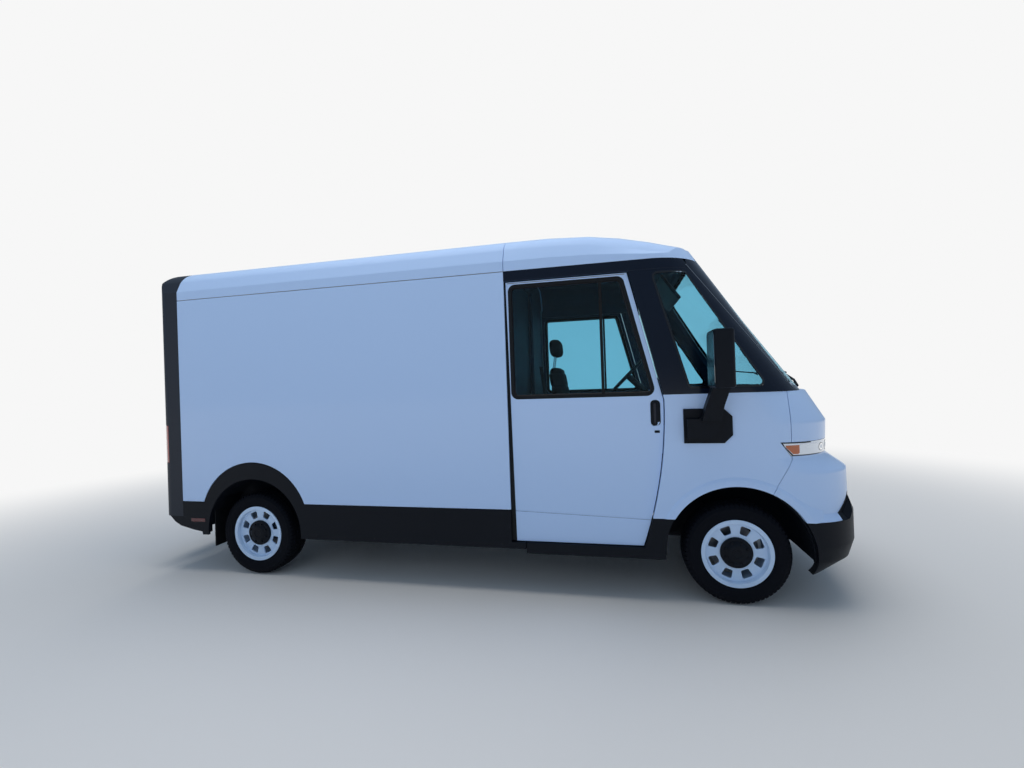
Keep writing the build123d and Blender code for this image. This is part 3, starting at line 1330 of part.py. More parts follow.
# Steering wheel on its column
with BuildPart() as steering_wheel:
    tilt = radians(STEERING_TILT)
    hub_plane = Plane(origin=(STEERING_X, SEAT_Y, STEERING_Z), z_dir=(-sin(tilt), 0, cos(tilt)))
    with BuildSketch(Plane(hub_plane.origin, x_dir=(0, 1, 0), z_dir=hub_plane.x_dir)) as rim_round:
        with Locations((STEERING_RADIUS, 0)):
            Circle(STEERING_GRIP)
    revolve(axis=Axis(hub_plane.origin, hub_plane.z_dir))
    with BuildSketch(hub_plane):
        Circle(STEERING_RADIUS / 4)
        with PolarLocations(0, 3):
            with Locations((STEERING_RADIUS / 2, 0)):
                Rectangle(STEERING_RADIUS, 1.6 * STEERING_GRIP)
    extrude(amount=STEERING_GRIP / 2, both=True)
    with BuildSketch(hub_plane):
        Circle(COLUMN_RADIUS)
    extrude(amount=-COLUMN_LENGTH)
    add(dashboard.part, mode=Mode.SUBTRACT)
steering_wheel.part.label = "steering_wheel"
export_step(steering_wheel.part, "parts/steering_wheel.step")

# Driver's seat: pedestal, cushion, and back with its headrest
with BuildPart() as seat_base:
    with Locations((SEAT_X, SEAT_Y, (FLOOR_Z + SEAT_CUSHION_Z) / 2)):
        Box(PEDESTAL_LENGTH, PEDESTAL_WIDTH, SEAT_CUSHION_Z - FLOOR_Z)
seat_base.part.label = "seat_base"
export_step(seat_base.part, "parts/seat_base.step")

with BuildPart() as seat_cushion:
    block(
        (CUSHION_REAR_X, CUSHION_REAR_X + CUSHION_LENGTH),
        (SEAT_Y - SEAT_WIDTH / 2, SEAT_Y + SEAT_WIDTH / 2),
        (SEAT_CUSHION_Z, SEAT_CUSHION_Z + CUSHION_THICKNESS),
    )
seat_cushion.part.label = "seat_cushion"
export_step(seat_cushion.part, "parts/seat_cushion.step")

with BuildPart() as seat_back:
    with BuildSketch(Plane.XZ.offset(-SEAT_Y)):
        with BuildLine():
            Polyline(
                (CUSHION_REAR_X - SEAT_GAP, SEAT_CUSHION_Z),
                (CUSHION_REAR_X - SEAT_RAKE, SEAT_BACK_Z),
                (CUSHION_REAR_X - SEAT_RAKE + BACK_THICKNESS, SEAT_BACK_Z),
                (CUSHION_REAR_X + BACK_THICKNESS, SEAT_CUSHION_Z + CUSHION_THICKNESS + SEAT_GAP),
                (CUSHION_REAR_X - SEAT_GAP, SEAT_CUSHION_Z + CUSHION_THICKNESS + SEAT_GAP),
                close=True,
            )
        make_face()
    extrude(amount=SEAT_WIDTH / 2, both=True)
    headrest_x = CUSHION_REAR_X - SEAT_RAKE + BACK_THICKNESS / 2
    with Locations((headrest_x, SEAT_Y, SEAT_BACK_Z + HEADREST_GAP + HEADREST_HEIGHT / 2)):
        Box(HEADREST_THICKNESS, HEADREST_WIDTH, HEADREST_HEIGHT)
    with Locations((headrest_x, SEAT_Y, SEAT_BACK_Z + HEADREST_GAP / 2)):
        with GridLocations(0, HEADREST_POST_SPACING, 1, 2):
            Cylinder(HEADREST_POST_RADIUS, HEADREST_GAP)
seat_back.part.label = "seat_back"
export_step(seat_back.part, "parts/seat_back.step")

# Chassis rails, following the path in plan, and the cross members between them
with BuildPart() as chassis_rails:
    with BuildSketch(Plane.XY.offset(RAIL_LOW_Z)):
        with BuildLine():
            Polyline(
                *[(x, -y - RAIL_WIDTH / 2) for x, y in RAIL_PATH],
                *[(x, -y + RAIL_WIDTH / 2) for x, y in reversed(RAIL_PATH)],
                close=True,
            )
        make_face()
    extrude(amount=RAIL_TOP_Z - RAIL_LOW_Z)
    mirror(about=Plane.XZ)
chassis_rails.part.label = "chassis_rails"
export_step(chassis_rails.part, "parts/chassis_rails.step")

with BuildPart() as cross_members:
    for member_x, rail_y in CROSS_MEMBERS:
        reach = rail_y - RAIL_WIDTH / 2
        block((member_x, member_x + CROSS_WIDTH), (-reach, reach), (RAIL_LOW_Z + CROSS_DROP, RAIL_TOP_Z))
cross_members.part.label = "cross_members"
export_step(cross_members.part, "parts/cross_members.step")

# Battery pack between the rails
with BuildPart() as battery_pack:
    block(
        (BATTERY_REAR_X, BATTERY_FRONT_X),
        (-BATTERY_HALF_WIDTH, BATTERY_HALF_WIDTH),
        (BATTERY_LOW_Z, RAIL_TOP_Z),
    )
battery_pack.part.label = "battery_pack"
export_step(battery_pack.part, "parts/battery_pack.step")


def wheel_plane(axle_x):
    """Upright plane through a wheel's centre line: first axis outboard to the right, second axis up."""
    return Plane(origin=(axle_x, 0, TYRE_RADIUS), x_dir=(0, -1, 0), z_dir=(-1, 0, 0))


def wheel_axis(axle_x):
    """Centre line of the wheels on one axle, pointing right."""
    return Axis((axle_x, 0, TYRE_RADIUS), (0, -1, 0))


# Rear axle: tube with its spindles, a drive unit in the middle, and leaf springs hung from the rails
with BuildPart() as rear_axle:
    for radius, half_length in (
        (AXLE_TUBE_RADIUS, HUB_IN_Y - HUB_CLEAR),
        (SPINDLE_RADIUS, SPINDLE_END_Y),
        (DRIVE_UNIT_RADIUS, DRIVE_UNIT_HALF_WIDTH),
    ):
        with BuildSketch(Plane.XZ):
            with Locations((REAR_AXLE_X, TYRE_RADIUS)):
                Circle(radius)
        extrude(amount=half_length, both=True)
    for side in (-1, 1):
        y_low, y_high = (side * RAIL_NARROW_Y - LEAF_WIDTH / 2, side * RAIL_NARROW_Y + LEAF_WIDTH / 2)
        block(
            (REAR_AXLE_X - LEAF_REACH, REAR_AXLE_X + LEAF_REACH),
            (y_low, y_high),
            (LEAF_Z, LEAF_Z + LEAF_THICKNESS),
        )
        block(
            (REAR_AXLE_X - AXLE_TUBE_RADIUS, REAR_AXLE_X + AXLE_TUBE_RADIUS),
            (y_low, y_high),
            (TYRE_RADIUS, LEAF_Z + LEAF_THICKNESS),
        )
        for shackle_x in (REAR_AXLE_X - LEAF_REACH, REAR_AXLE_X + LEAF_REACH - LEAF_WIDTH):
            block((shackle_x, shackle_x + LEAF_WIDTH), (y_low, y_high), (LEAF_Z, RAIL_LOW_Z))
rear_axle.part.label = "rear_axle"
export_step(rear_axle.part, "parts/rear_axle.step")

# Front suspension: subframe with lower and upper arms
with BuildPart() as front_suspension:
    block(
        (FRONT_AXLE_X - SUBFRAME_REACH, FRONT_AXLE_X + SUBFRAME_REACH),
        (-RAIL_NARROW_Y + RAIL_WIDTH / 2, RAIL_NARROW_Y - RAIL_WIDTH / 2),
        (ARM_LOW_Z - ARM_THICKNESS, ARM_LOW_Z + ARM_THICKNESS),
    )
    arm_x = (FRONT_AXLE_X - KNUCKLE_RADIUS, FRONT_AXLE_X + KNUCKLE_RADIUS)
    for side in (-1, 1):
        y_low, y_high = sorted((side * (RAIL_NARROW_Y - RAIL_WIDTH), side * (KINGPIN_Y + KNUCKLE_RADIUS)))
        block(arm_x, (y_low, y_high), (ARM_LOW_Z - ARM_THICKNESS, ARM_LOW_Z))
        rail_side_y = RAIL_NARROW_Y + RAIL_WIDTH / 2
        y_low, y_high = sorted((side * rail_side_y, side * (KINGPIN_Y + KNUCKLE_RADIUS)))
        block(arm_x, (y_low, y_high), (ARM_TOP_Z, ARM_TOP_Z + ARM_THICKNESS))
        y_low, y_high = sorted((side * (RAIL_NARROW_Y - RAIL_WIDTH), side * RAIL_NARROW_Y))
        block((FRONT_AXLE_X - ARM_SLOT, FRONT_AXLE_X + ARM_SLOT), (y_low, y_high), (ARM_LOW_Z, RAIL_LOW_Z))
front_suspension.part.label = "front_suspension"
export_step(front_suspension.part, "parts/front_suspension.step")

# Front knuckle: upright between the arms, with the spindle
with BuildPart() as knuckle:
    with Locations((FRONT_AXLE_X, -KINGPIN_Y, (ARM_LOW_Z + ARM_TOP_Z) / 2)):
        Cylinder(KNUCKLE_RADIUS, ARM_TOP_Z - ARM_LOW_Z - 2 * SEAT_GAP)
    with BuildSketch(side_plane(KINGPIN_Y)):
        with Locations((FRONT_AXLE_X, TYRE_RADIUS)):
            Circle(SPINDLE_RADIUS)
    extrude(amount=SPINDLE_END_Y - KINGPIN_Y)
save_pair(knuckle.part, "knuckle")


# Wheels: pressed rim with hand holes, hub and cap, and the tyre
def make_rim(axle_x):
    """Rim of one right-hand wheel."""
    in_y = WHEEL_Y - RIM_WIDTH / 2
    out_y = WHEEL_Y + RIM_WIDTH / 2
    with BuildPart() as rim:
        with BuildSketch(wheel_plane(axle_x)):
            with BuildLine():
                Polyline(
                    (in_y, RIM_RADIUS),
                    (out_y, RIM_RADIUS),
                    (out_y, RIM_FLANGE_RADIUS),
                    (out_y + RIM_LIP, RIM_FLANGE_RADIUS),
                    (out_y + RIM_LIP, RIM_RADIUS - RIM_WALL),
                    (DISC_Y + DISC_THICKNESS, RIM_RADIUS - RIM_WALL - 6),
                    (DISC_Y + DISC_THICKNESS, HUB_CAP_RADIUS),
                    (DISC_Y + DISC_THICKNESS + HUB_CAP_STAND, HUB_CAP_RADIUS - 8),
                    (DISC_Y + DISC_THICKNESS + HUB_CAP_STAND, 0),
                    (HUB_FACE_Y, 0),
                    (HUB_FACE_Y, SPINDLE_RADIUS + SEAT_GAP),
                    (HUB_IN_Y, SPINDLE_RADIUS + SEAT_GAP),
                    (HUB_IN_Y, HUB_RADIUS),
                    (DISC_Y, HUB_RADIUS),
                    (DISC_Y, RIM_RADIUS - RIM_WALL - 6),
                    (DISC_Y - 20, RIM_RADIUS - RIM_WALL),
                    (in_y - RIM_LIP, RIM_RADIUS - RIM_WALL),
                    (in_y - RIM_LIP, RIM_FLANGE_RADIUS),
                    (in_y, RIM_FLANGE_RADIUS),
                    close=True,
                )
            make_face()
        revolve(axis=wheel_axis(axle_x))
        with BuildSketch(Plane.XZ.offset(DISC_Y - 2)) as holes:
            with Locations((axle_x, TYRE_RADIUS)):
                with PolarLocations(HOLE_RING_RADIUS, HAND_HOLES, start_angle=HOLE_START):
                    Polygon(
                        (-HOLE_DEPTH / 2, -HOLE_IN_WIDTH / 2),
                        (HOLE_DEPTH / 2, -HOLE_OUT_WIDTH / 2),
                        (HOLE_DEPTH / 2, HOLE_OUT_WIDTH / 2),
                        (-HOLE_DEPTH / 2, HOLE_IN_WIDTH / 2),
                    )
            fillet(holes.vertices(), HOLE_ROUND)
        extrude(amount=DISC_THICKNESS + 4, mode=Mode.SUBTRACT)
    return rim.part


def make_tyre(axle_x):
    """Tyre of one right-hand wheel, standing on the ground."""
    in_y = WHEEL_Y - RIM_WIDTH / 2 + SEAT_GAP
    out_y = WHEEL_Y + RIM_WIDTH / 2 - SEAT_GAP
    bead = RIM_RADIUS + SEAT_GAP
    flange = RIM_FLANGE_RADIUS + SEAT_GAP
    tread_half = TYRE_WIDTH / 2 - TYRE_SHOULDER
    side_radius = (flange + TYRE_RADIUS) / 2
    with BuildPart() as tyre:
        with BuildSketch(wheel_plane(axle_x)):
            with BuildLine():
                Polyline((in_y, flange), (in_y, bead), (out_y, bead), (out_y, flange))
                ThreePointArc(
                    (out_y, flange),
                    (WHEEL_Y + TYRE_WIDTH / 2, side_radius),
                    (WHEEL_Y + tread_half, TYRE_RADIUS - TYRE_CROWN),
                )
                ThreePointArc(
                    (WHEEL_Y + tread_half, TYRE_RADIUS - TYRE_CROWN),
                    (WHEEL_Y, TYRE_RADIUS),
                    (WHEEL_Y - tread_half, TYRE_RADIUS - TYRE_CROWN),
                )
                ThreePointArc(
                    (WHEEL_Y - tread_half, TYRE_RADIUS - TYRE_CROWN),
                    (WHEEL_Y - TYRE_WIDTH / 2, side_radius),
                    (in_y, flange),
                )
            make_face()
        revolve(axis=wheel_axis(axle_x))
    return tyre.part


for axle_name, axle_x in (("front", FRONT_AXLE_X), ("rear", REAR_AXLE_X)):
    save_pair(make_rim(axle_x), "rim_" + axle_name)
    save_pair(make_tyre(axle_x), "tyre_" + axle_name)

# Mud flaps behind the rear wheels
with BuildPart() as mud_flaps:
    block((FLAP_X, FLAP_X + FLAP_THICKNESS), (-FLAP_OUT_Y, -FLAP_IN_Y), (FLAP_LOW_Z, FLAP_TOP_Z))
    extrude(
        circle_at(FLAP_IN_Y, REAR_AXLE_X, REAR_ARCH_Z, REAR_HOUSING_RADIUS),
        amount=FLAP_OUT_Y - FLAP_IN_Y,
        mode=Mode.INTERSECT,
    )
    mirror(about=Plane.XZ)
mud_flaps.part.label = "mud_flaps"
export_step(mud_flaps.part, "parts/mud_flaps.step")
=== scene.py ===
import json
import math

import bmesh
import bpy
from mathutils import Matrix, Vector
from mathutils.bvhtree import BVHTree

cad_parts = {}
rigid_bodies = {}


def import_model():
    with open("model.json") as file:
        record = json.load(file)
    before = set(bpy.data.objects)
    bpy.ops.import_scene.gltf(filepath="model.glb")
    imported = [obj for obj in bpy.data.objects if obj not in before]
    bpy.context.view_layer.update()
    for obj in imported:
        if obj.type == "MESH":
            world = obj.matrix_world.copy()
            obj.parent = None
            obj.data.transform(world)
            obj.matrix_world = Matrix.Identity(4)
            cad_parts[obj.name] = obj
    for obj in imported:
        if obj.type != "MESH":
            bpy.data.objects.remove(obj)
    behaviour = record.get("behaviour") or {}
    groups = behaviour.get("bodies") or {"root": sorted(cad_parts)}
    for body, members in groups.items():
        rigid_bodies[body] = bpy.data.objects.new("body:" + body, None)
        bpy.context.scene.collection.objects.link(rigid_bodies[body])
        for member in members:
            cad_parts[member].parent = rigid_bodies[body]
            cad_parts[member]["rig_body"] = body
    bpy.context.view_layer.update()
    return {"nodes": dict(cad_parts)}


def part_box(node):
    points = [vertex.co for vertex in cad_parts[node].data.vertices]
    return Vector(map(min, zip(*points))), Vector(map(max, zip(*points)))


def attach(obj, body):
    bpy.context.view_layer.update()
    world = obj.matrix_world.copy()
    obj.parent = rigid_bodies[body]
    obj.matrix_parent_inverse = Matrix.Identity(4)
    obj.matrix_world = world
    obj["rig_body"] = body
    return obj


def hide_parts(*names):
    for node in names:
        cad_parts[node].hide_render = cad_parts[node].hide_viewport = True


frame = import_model()
NODES = frame["nodes"]
TAU = 2 * math.pi

# The van's own sizes, in metres: the same as its frame's
HALF_WIDTH = 1.030
FRONT_AXLE_X = 2.066
REAR_AXLE_X = -1.820
TYRE_RADIUS = 0.356
WHEEL_Y = 0.882
ARCH_X = 2.072
ARCH_Z = 0.352
REAR_X = -2.785
BOW_RADIUS = 2.427
NOSE_CORNER = 0.500
NOSE_CORNER_Y = 0.530
LEDGE_CORNER = 0.405
LEDGE_CORNER_Y = 0.625
FLARE_Y = 1.040
FLARE_RADIUS = 0.528
FLARE_SLOPE = 1.73

# Height and foremost X of the nose and of the ledge over the bumper
NOSE_SECTIONS = (
    (0.600, 2.962), (0.740, 2.979), (0.925, 2.977), (1.022, 2.847), (1.262, 2.857), (1.476, 2.732),
)
LEDGE_SECTIONS = ((0.600, 2.990), (0.676, 2.880))
SIDES = ((-1, "right"), (1, "left"))

# How close corners lie to be one, and how far faces turn to be flat together
MERGE_DISTANCE = 1e-5
FLAT_DEGREES = 0.2
# How well a face has to look one way: inwards, outwards, or along a curve's own direction
INWARDS, OUTWARDS, ALONG = 0.30, 0.4, 0.8


# Finishes

def group_socket(tree, name, way, kind, value=None):
    """Adds a named input or output to a node group."""
    socket = tree.interface.new_socket(name=name, in_out=way, socket_type="NodeSocket" + kind)
    if value is not None:
        socket.default_value = value


def set_inputs(tree, node, inputs):
    """Sets inputs of a node to values, or joins them to the outputs of other nodes."""
    for key, value in inputs.items():
        if isinstance(value, bpy.types.NodeSocket):
            tree.links.new(value, node.inputs[key])
        else:
            node.inputs[key].default_value = value


def add_node(tree, kind, inputs, **settings):
    """Adds a node with its settings and inputs."""
    node = tree.nodes.new(kind)
    for key, value in settings.items():
        setattr(node, key, value)
    set_inputs(tree, node, inputs)
    return node


def math_node(tree, operation, *values):
    """The result of an operation on values or sockets."""
    return add_node(tree, "ShaderNodeMath", dict(enumerate(values)), operation=operation).outputs[0]


def surface_variation_group():
    """Two sizes of noise on object coordinates: a roughness that drifts a little, and a fine height."""
    tree = bpy.data.node_groups.new("surface_variation", "ShaderNodeTree")
    for name, value in (("Roughness", 0.4), ("Drift", 0.1), ("Patch scale", 3.0), ("Grain scale", 400.0)):
        group_socket(tree, name, "INPUT", "Float", value)
    group_socket(tree, "Roughness", "OUTPUT", "Float")
    group_socket(tree, "Height", "OUTPUT", "Float")
    given = tree.nodes.new("NodeGroupInput").outputs
    place = tree.nodes.new("ShaderNodeTexCoord").outputs["Object"]
    patches = add_node(tree, "ShaderNodeTexNoise", {
        "Vector": place, "Scale": given["Patch scale"], "Detail": 5.0,
    })
    grain = add_node(tree, "ShaderNodeTexNoise", {
        "Vector": place, "Scale": given["Grain scale"], "Detail": 2.0,
    })
    centred = math_node(tree, "SUBTRACT", patches.outputs["Fac"], 0.5)
    drifted = math_node(tree, "MULTIPLY_ADD", centred, given["Drift"], given["Roughness"])
    add_node(tree, "NodeGroupOutput", {"Roughness": drifted, "Height": grain.outputs["Fac"]})
    return tree


def road_dust_group():
    """Mixes a colour towards dust near the ground, broken up by noise."""
    tree = bpy.data.node_groups.new("road_dust", "ShaderNodeTree")
    group_socket(tree, "Color", "INPUT", "Color", (0.02, 0.02, 0.02, 1))
    group_socket(tree, "Dust", "INPUT", "Color", (0.20, 0.19, 0.17, 1))
    group_socket(tree, "Top", "INPUT", "Float", 0.6)
    group_socket(tree, "Amount", "INPUT", "Float", 0.25)
    group_socket(tree, "Color", "OUTPUT", "Color")
    given = tree.nodes.new("NodeGroupInput").outputs
    place = tree.nodes.new("ShaderNodeTexCoord").outputs["Object"]
    height = add_node(tree, "ShaderNodeSeparateXYZ", {0: place}).outputs["Z"]
    fall = add_node(tree, "ShaderNodeMapRange", {
        "Value": height, "From Min": 0.0, "From Max": given["Top"], "To Min": 1.0, "To Max": 0.0,
    })
    noise = add_node(tree, "ShaderNodeTexNoise", {"Vector": place, "Scale": 14.0, "Detail": 6.0})
    broken = math_node(tree, "MULTIPLY", fall.outputs[0], noise.outputs["Fac"])
    amount = math_node(tree, "MULTIPLY", broken, given["Amount"])
    mix = add_node(tree, "ShaderNodeMix", {0: amount, 6: given["Color"], 7: given["Dust"]}, data_type="RGBA")
    add_node(tree, "NodeGroupOutput", {"Color": mix.outputs[2]})
    return tree


VARIATION = surface_variation_group()
DUST = road_dust_group()


def finish(name, colour, rough, metallic=0.0, drift=0.08, grain=0.0, grain_scale=400.0, coat=0.0, dust=0.0,
           transmission=0.0, ior=1.5, shine=0.5):
    """A Principled material with drifting roughness, and grain, coat or road dust where asked for."""
    material = bpy.data.materials.new(name)
    material.use_nodes = True
    tree = material.node_tree
    shader = tree.nodes["Principled BSDF"]
    set_inputs(tree, shader, {
        "Base Color": (*colour, 1), "Metallic": metallic, "IOR": ior, "Specular IOR Level": shine,
        "Coat Weight": coat, "Coat Roughness": 0.05, "Transmission Weight": transmission,
    })
    if transmission:
        shader.inputs["Roughness"].default_value = rough
        return material
    varied = add_node(tree, "ShaderNodeGroup", {
        "Roughness": rough, "Drift": drift, "Grain scale": grain_scale,
    }, node_tree=VARIATION)
    links = {"Roughness": varied.outputs["Roughness"]}
    if grain:
        bump = add_node(tree, "ShaderNodeBump", {
            "Strength": grain, "Distance": 0.001, "Height": varied.outputs["Height"],
        })
        links["Normal"] = bump.outputs["Normal"]
    if dust:
        dusty = add_node(tree, "ShaderNodeGroup", {"Color": (*colour, 1), "Amount": dust}, node_tree=DUST)
        links["Base Color"] = dusty.outputs["Color"]
    set_inputs(tree, shader, links)
    return material


# White paint tinted blue: the white is the paint's own colour, and the blue is painted shade, the cool cast
# of the shade the van's sides lie in
WHITE_PAINT_SHADE_TINT = finish("white_paint_shade_tint", (0.50, 0.68, 0.98), 0.36, coat=0.35, drift=0.05)
GLOSS_BLACK = finish("gloss_black", (0.004, 0.008, 0.019), 0.16, coat=0.1, drift=0.04, shine=0.22)
SATIN_BLACK = finish("satin_black", (0.0045, 0.0065, 0.011), 0.46, grain=0.25, grain_scale=900.0,
                     dust=0.015, shine=0.16)
REAR_PLASTIC = finish("rear_plastic", (0.020, 0.025, 0.037), 0.52, grain=0.25, grain_scale=900.0, shine=0.3)
CAB_GLASS = finish("cab_glass", (0.36, 0.66, 0.78), 0.0, transmission=1.0, ior=1.22)
SCREEN_GLASS = finish("screen_glass", (0.42, 0.70, 0.80), 0.0, transmission=1.0, ior=1.22)
TYRE_RUBBER = finish("tyre_rubber", (0.0035, 0.0045, 0.008), 0.70, grain=0.3, grain_scale=300.0,
                     dust=0.02, shine=0.1)
SEAL_RUBBER = finish("seal_rubber", (0.006, 0.007, 0.009), 0.55, shine=0.25)
# Rim paint tinted blue like the body: the pale white is the paint's own colour, and the blue is painted shade
RIM_PAINT_SHADE_TINT = finish("rim_paint", (0.58, 0.75, 0.98), 0.32, coat=0.3, dust=0.10)
FRAME_BLACK = finish("frame_black", (0.010, 0.010, 0.012), 0.60, grain=0.2, dust=0.25, shine=0.3)
BATTERY_CASE = finish("battery_case", (0.10, 0.11, 0.12), 0.50, metallic=0.7, dust=0.25)
CAST_METAL = finish("cast_metal", (0.045, 0.045, 0.05), 0.62, metallic=0.6, grain=0.6, grain_scale=250.0,
                    dust=0.3)
BRIGHT_METAL = finish("bright_metal", (0.72, 0.73, 0.75), 0.22, metallic=1.0)
DULL_METAL = finish("dull_metal", (0.30, 0.30, 0.31), 0.42, metallic=1.0)
MIRROR_GLASS = finish("mirror_glass", (0.80, 0.83, 0.86), 0.03, metallic=1.0, drift=0.0)
LAMP_SILVER = finish("lamp_silver", (0.60, 0.66, 0.74), 0.20, metallic=0.55, coat=1.0, grain=0.35,
                     grain_scale=60.0)
AMBER_LENS = finish("amber_lens", (0.48, 0.10, 0.02), 0.22, coat=0.6)
RED_LENS = finish("red_lens", (0.30, 0.008, 0.010), 0.18, coat=0.6)
DARK_RED_LENS = finish("dark_red_lens", (0.10, 0.004, 0.006), 0.20, coat=0.6)
LAMP_CHROME = finish("lamp_chrome", (0.88, 0.90, 0.93), 0.10, metallic=1.0, drift=0.0)
LAMP_WHITE = finish("lamp_white", (0.80, 0.84, 0.90), 0.25, coat=0.5)
CAB_PLASTIC = finish("cab_plastic", (0.006, 0.011, 0.020), 0.58, grain=0.3, grain_scale=700.0, shine=0.3)
CAB_GREY = finish("cab_grey", (0.014, 0.034, 0.070), 0.65, grain=0.3, grain_scale=700.0, shine=0.3)
SCREEN_DARK = finish("screen_dark", (0.004, 0.005, 0.008), 0.10, coat=0.4, shine=0.4)
WALL_LINING = finish("wall_lining", (0.42, 0.44, 0.48), 0.55)
LOAD_DECK = finish("load_deck", (0.26, 0.27, 0.28), 0.45, metallic=0.6, grain=0.4, grain_scale=160.0)
SEAT_CLOTH = finish("seat_cloth", (0.012, 0.014, 0.019), 0.88, grain=0.8, grain_scale=1400.0, shine=0.2)


# Making and placing pieces

def body_of(node):
    """The moving body that carries a node of the frame."""
    return NODES[node]["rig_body"]


def placed(name, data):
    """A new object in the scene."""
    made = bpy.data.objects.new(name, data)
    bpy.context.scene.collection.objects.link(made)
    return made


def evaluated(mesh_object):
    """The mesh of an object after its modifiers."""
    graph = bpy.context.evaluated_depsgraph_get()
    return bpy.data.meshes.new_from_object(mesh_object.evaluated_get(graph), depsgraph=graph)


def settle(mesh_object, body, slot_name, *replaced):
    """Lets a piece ride on a body, and hides the nodes of the frame that it stands for."""
    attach(mesh_object, body)
    if replaced:
        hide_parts(*replaced)
    return mesh_object


def smooth_by_angle(mesh, degrees=32):
    """Smooth shading that stays sharp at edges over an angle."""
    mesh.shade_smooth()
    mesh.set_sharp_from_angle(angle=math.radians(degrees))


def merged(node, flatten=True):
    """An edited mesh of a node of the frame, its loose triangles joined and, if asked, its flat faces too."""
    bm = bmesh.new()
    bm.from_mesh(NODES[node].data)
    bmesh.ops.remove_doubles(bm, verts=bm.verts, dist=MERGE_DISTANCE)
    if flatten:
        bmesh.ops.dissolve_limit(bm, angle_limit=math.radians(FLAT_DEGREES), verts=bm.verts, edges=bm.edges)
    return bm


def cut_across(bm, place, normal):
    """Cuts the faces of an edited mesh along a plane and keeps both sides."""
    bmesh.ops.bisect_plane(bm, geom=bm.verts[:] + bm.edges[:] + bm.faces[:], plane_co=place, plane_no=normal)


def object_from(bm, name, material, body, slot_name, *replaced, angle=32):
    """Turns an edited mesh into a finished piece with its faces pointing outwards."""
    bmesh.ops.remove_doubles(bm, verts=bm.verts, dist=1e-6)
    bmesh.ops.recalc_face_normals(bm, faces=bm.faces)
    mesh = bpy.data.meshes.new(name)
    bm.to_mesh(mesh)
    bm.free()
    smooth_by_angle(mesh, angle)
    mesh.materials.append(material)
    piece = placed(name, mesh)
    return settle(piece, body, slot_name, *replaced)


def round_edges(piece, width, angle=32):
    """A live bevel on the sharp edges of a piece, shaded so that its flat faces stay flat."""
    bevel = piece.modifiers.new("edges", "BEVEL")
    bevel.width = width
    bevel.segments = 2
    bevel.limit_method = "ANGLE"
    bevel.angle_limit = math.radians(angle)
    bevel.use_clamp_overlap = True
    flat = piece.modifiers.new("flat_faces", "WEIGHTED_NORMAL")
    flat.weight = 90
    flat.keep_sharp = True


# The line along the middle of the inside: rear and front X, and height
INSIDE_REAR_X, INSIDE_FRONT_X, INSIDE_Z = -2.3, 1.6, 1.6


def faces_inwards(face):
    """True for a face on the inside of the van's walls and roof."""
    centre = face.calc_center_median()
    middle = Vector((min(max(centre.x, INSIDE_REAR_X), INSIDE_FRONT_X), 0, INSIDE_Z))
    return face.normal.dot((middle - centre).normalized()) > INWARDS


def softened(node, material, slot_name, width, inner=None, angle=32):
    """A copy of a node of the frame with its edges rounded, and its inner faces in a second finish."""
    bm = merged(node)
    if inner:
        for face in bm.faces:
            face.material_index = int(faces_inwards(face))
    piece = object_from(bm, node + "_panel", material, body_of(node), slot_name, node, angle=angle)
    if inner:
        piece.data.materials.append(inner)
    if width:
        round_edges(piece, width, angle=angle)


def add_box(bm, low, high):
    """Adds an upright box between two corners."""
    low, high = Vector(low), Vector(high)
    size = high - low
    matrix = Matrix.Translation((low + high) / 2) @ Matrix.Diagonal((*size, 1))
    bmesh.ops.create_cube(bm, size=1.0, matrix=matrix)


def add_prism(bm, outline, axis, low, high):
    """Adds a prism: an outline in the other two axes, between two places along an axis."""
    def place(pair, along):
        point = list(pair)
        point.insert(axis, along)
        return point

    rings = [[bm.verts.new(place(p, along)) for p in outline] for along in (low, high)]
    bm.faces.new(rings[0])
    bm.faces.new(list(reversed(rings[1])))
    for i in range(len(outline)):
        j = (i + 1) % len(outline)
        bm.faces.new((rings[0][j], rings[0][i], rings[1][i], rings[1][j]))


def rounded_rectangle(centre, size, radius, steps=4):
    """Corner points of a rounded rectangle, in order."""
    points = []
    for corner, (sx, sy) in enumerate(((1, 1), (-1, 1), (-1, -1), (1, -1))):
        cx = centre[0] + sx * (size[0] / 2 - radius)
        cy = centre[1] + sy * (size[1] / 2 - radius)
        for step in range(steps + 1):
            turn = math.radians(90 * corner + 90 * step / steps)
            points.append((cx + radius * math.cos(turn), cy + radius * math.sin(turn)))
    return points


def circle(centre, radius, count):
    """Corner points of a circle, in order."""
    turns = [TAU * k / count for k in range(count)]
    return [(centre[0] + radius * math.cos(turn), centre[1] + radius * math.sin(turn)) for turn in turns]


def lathe(bm, profile, x, side, segments=64, wave=None):
    """Turns a profile of (distance outboard, radius) about a wheel's axis; wave gives turn and radius."""
    rings = []
    for step in range(segments):
        turn = TAU * step / segments
        ring = []
        for y, r in profile:
            if wave:
                turn, r = wave(step, y, r)
            height = TYRE_RADIUS + r * math.sin(turn)
            ring.append(bm.verts.new((x + r * math.cos(turn), side * y, height)))
        rings.append(ring)
    for step in range(segments):
        here, there = rings[step], rings[(step + 1) % segments]
        for i in range(len(profile) - 1):
            bm.faces.new((here[i], here[i + 1], there[i + 1], there[i]))


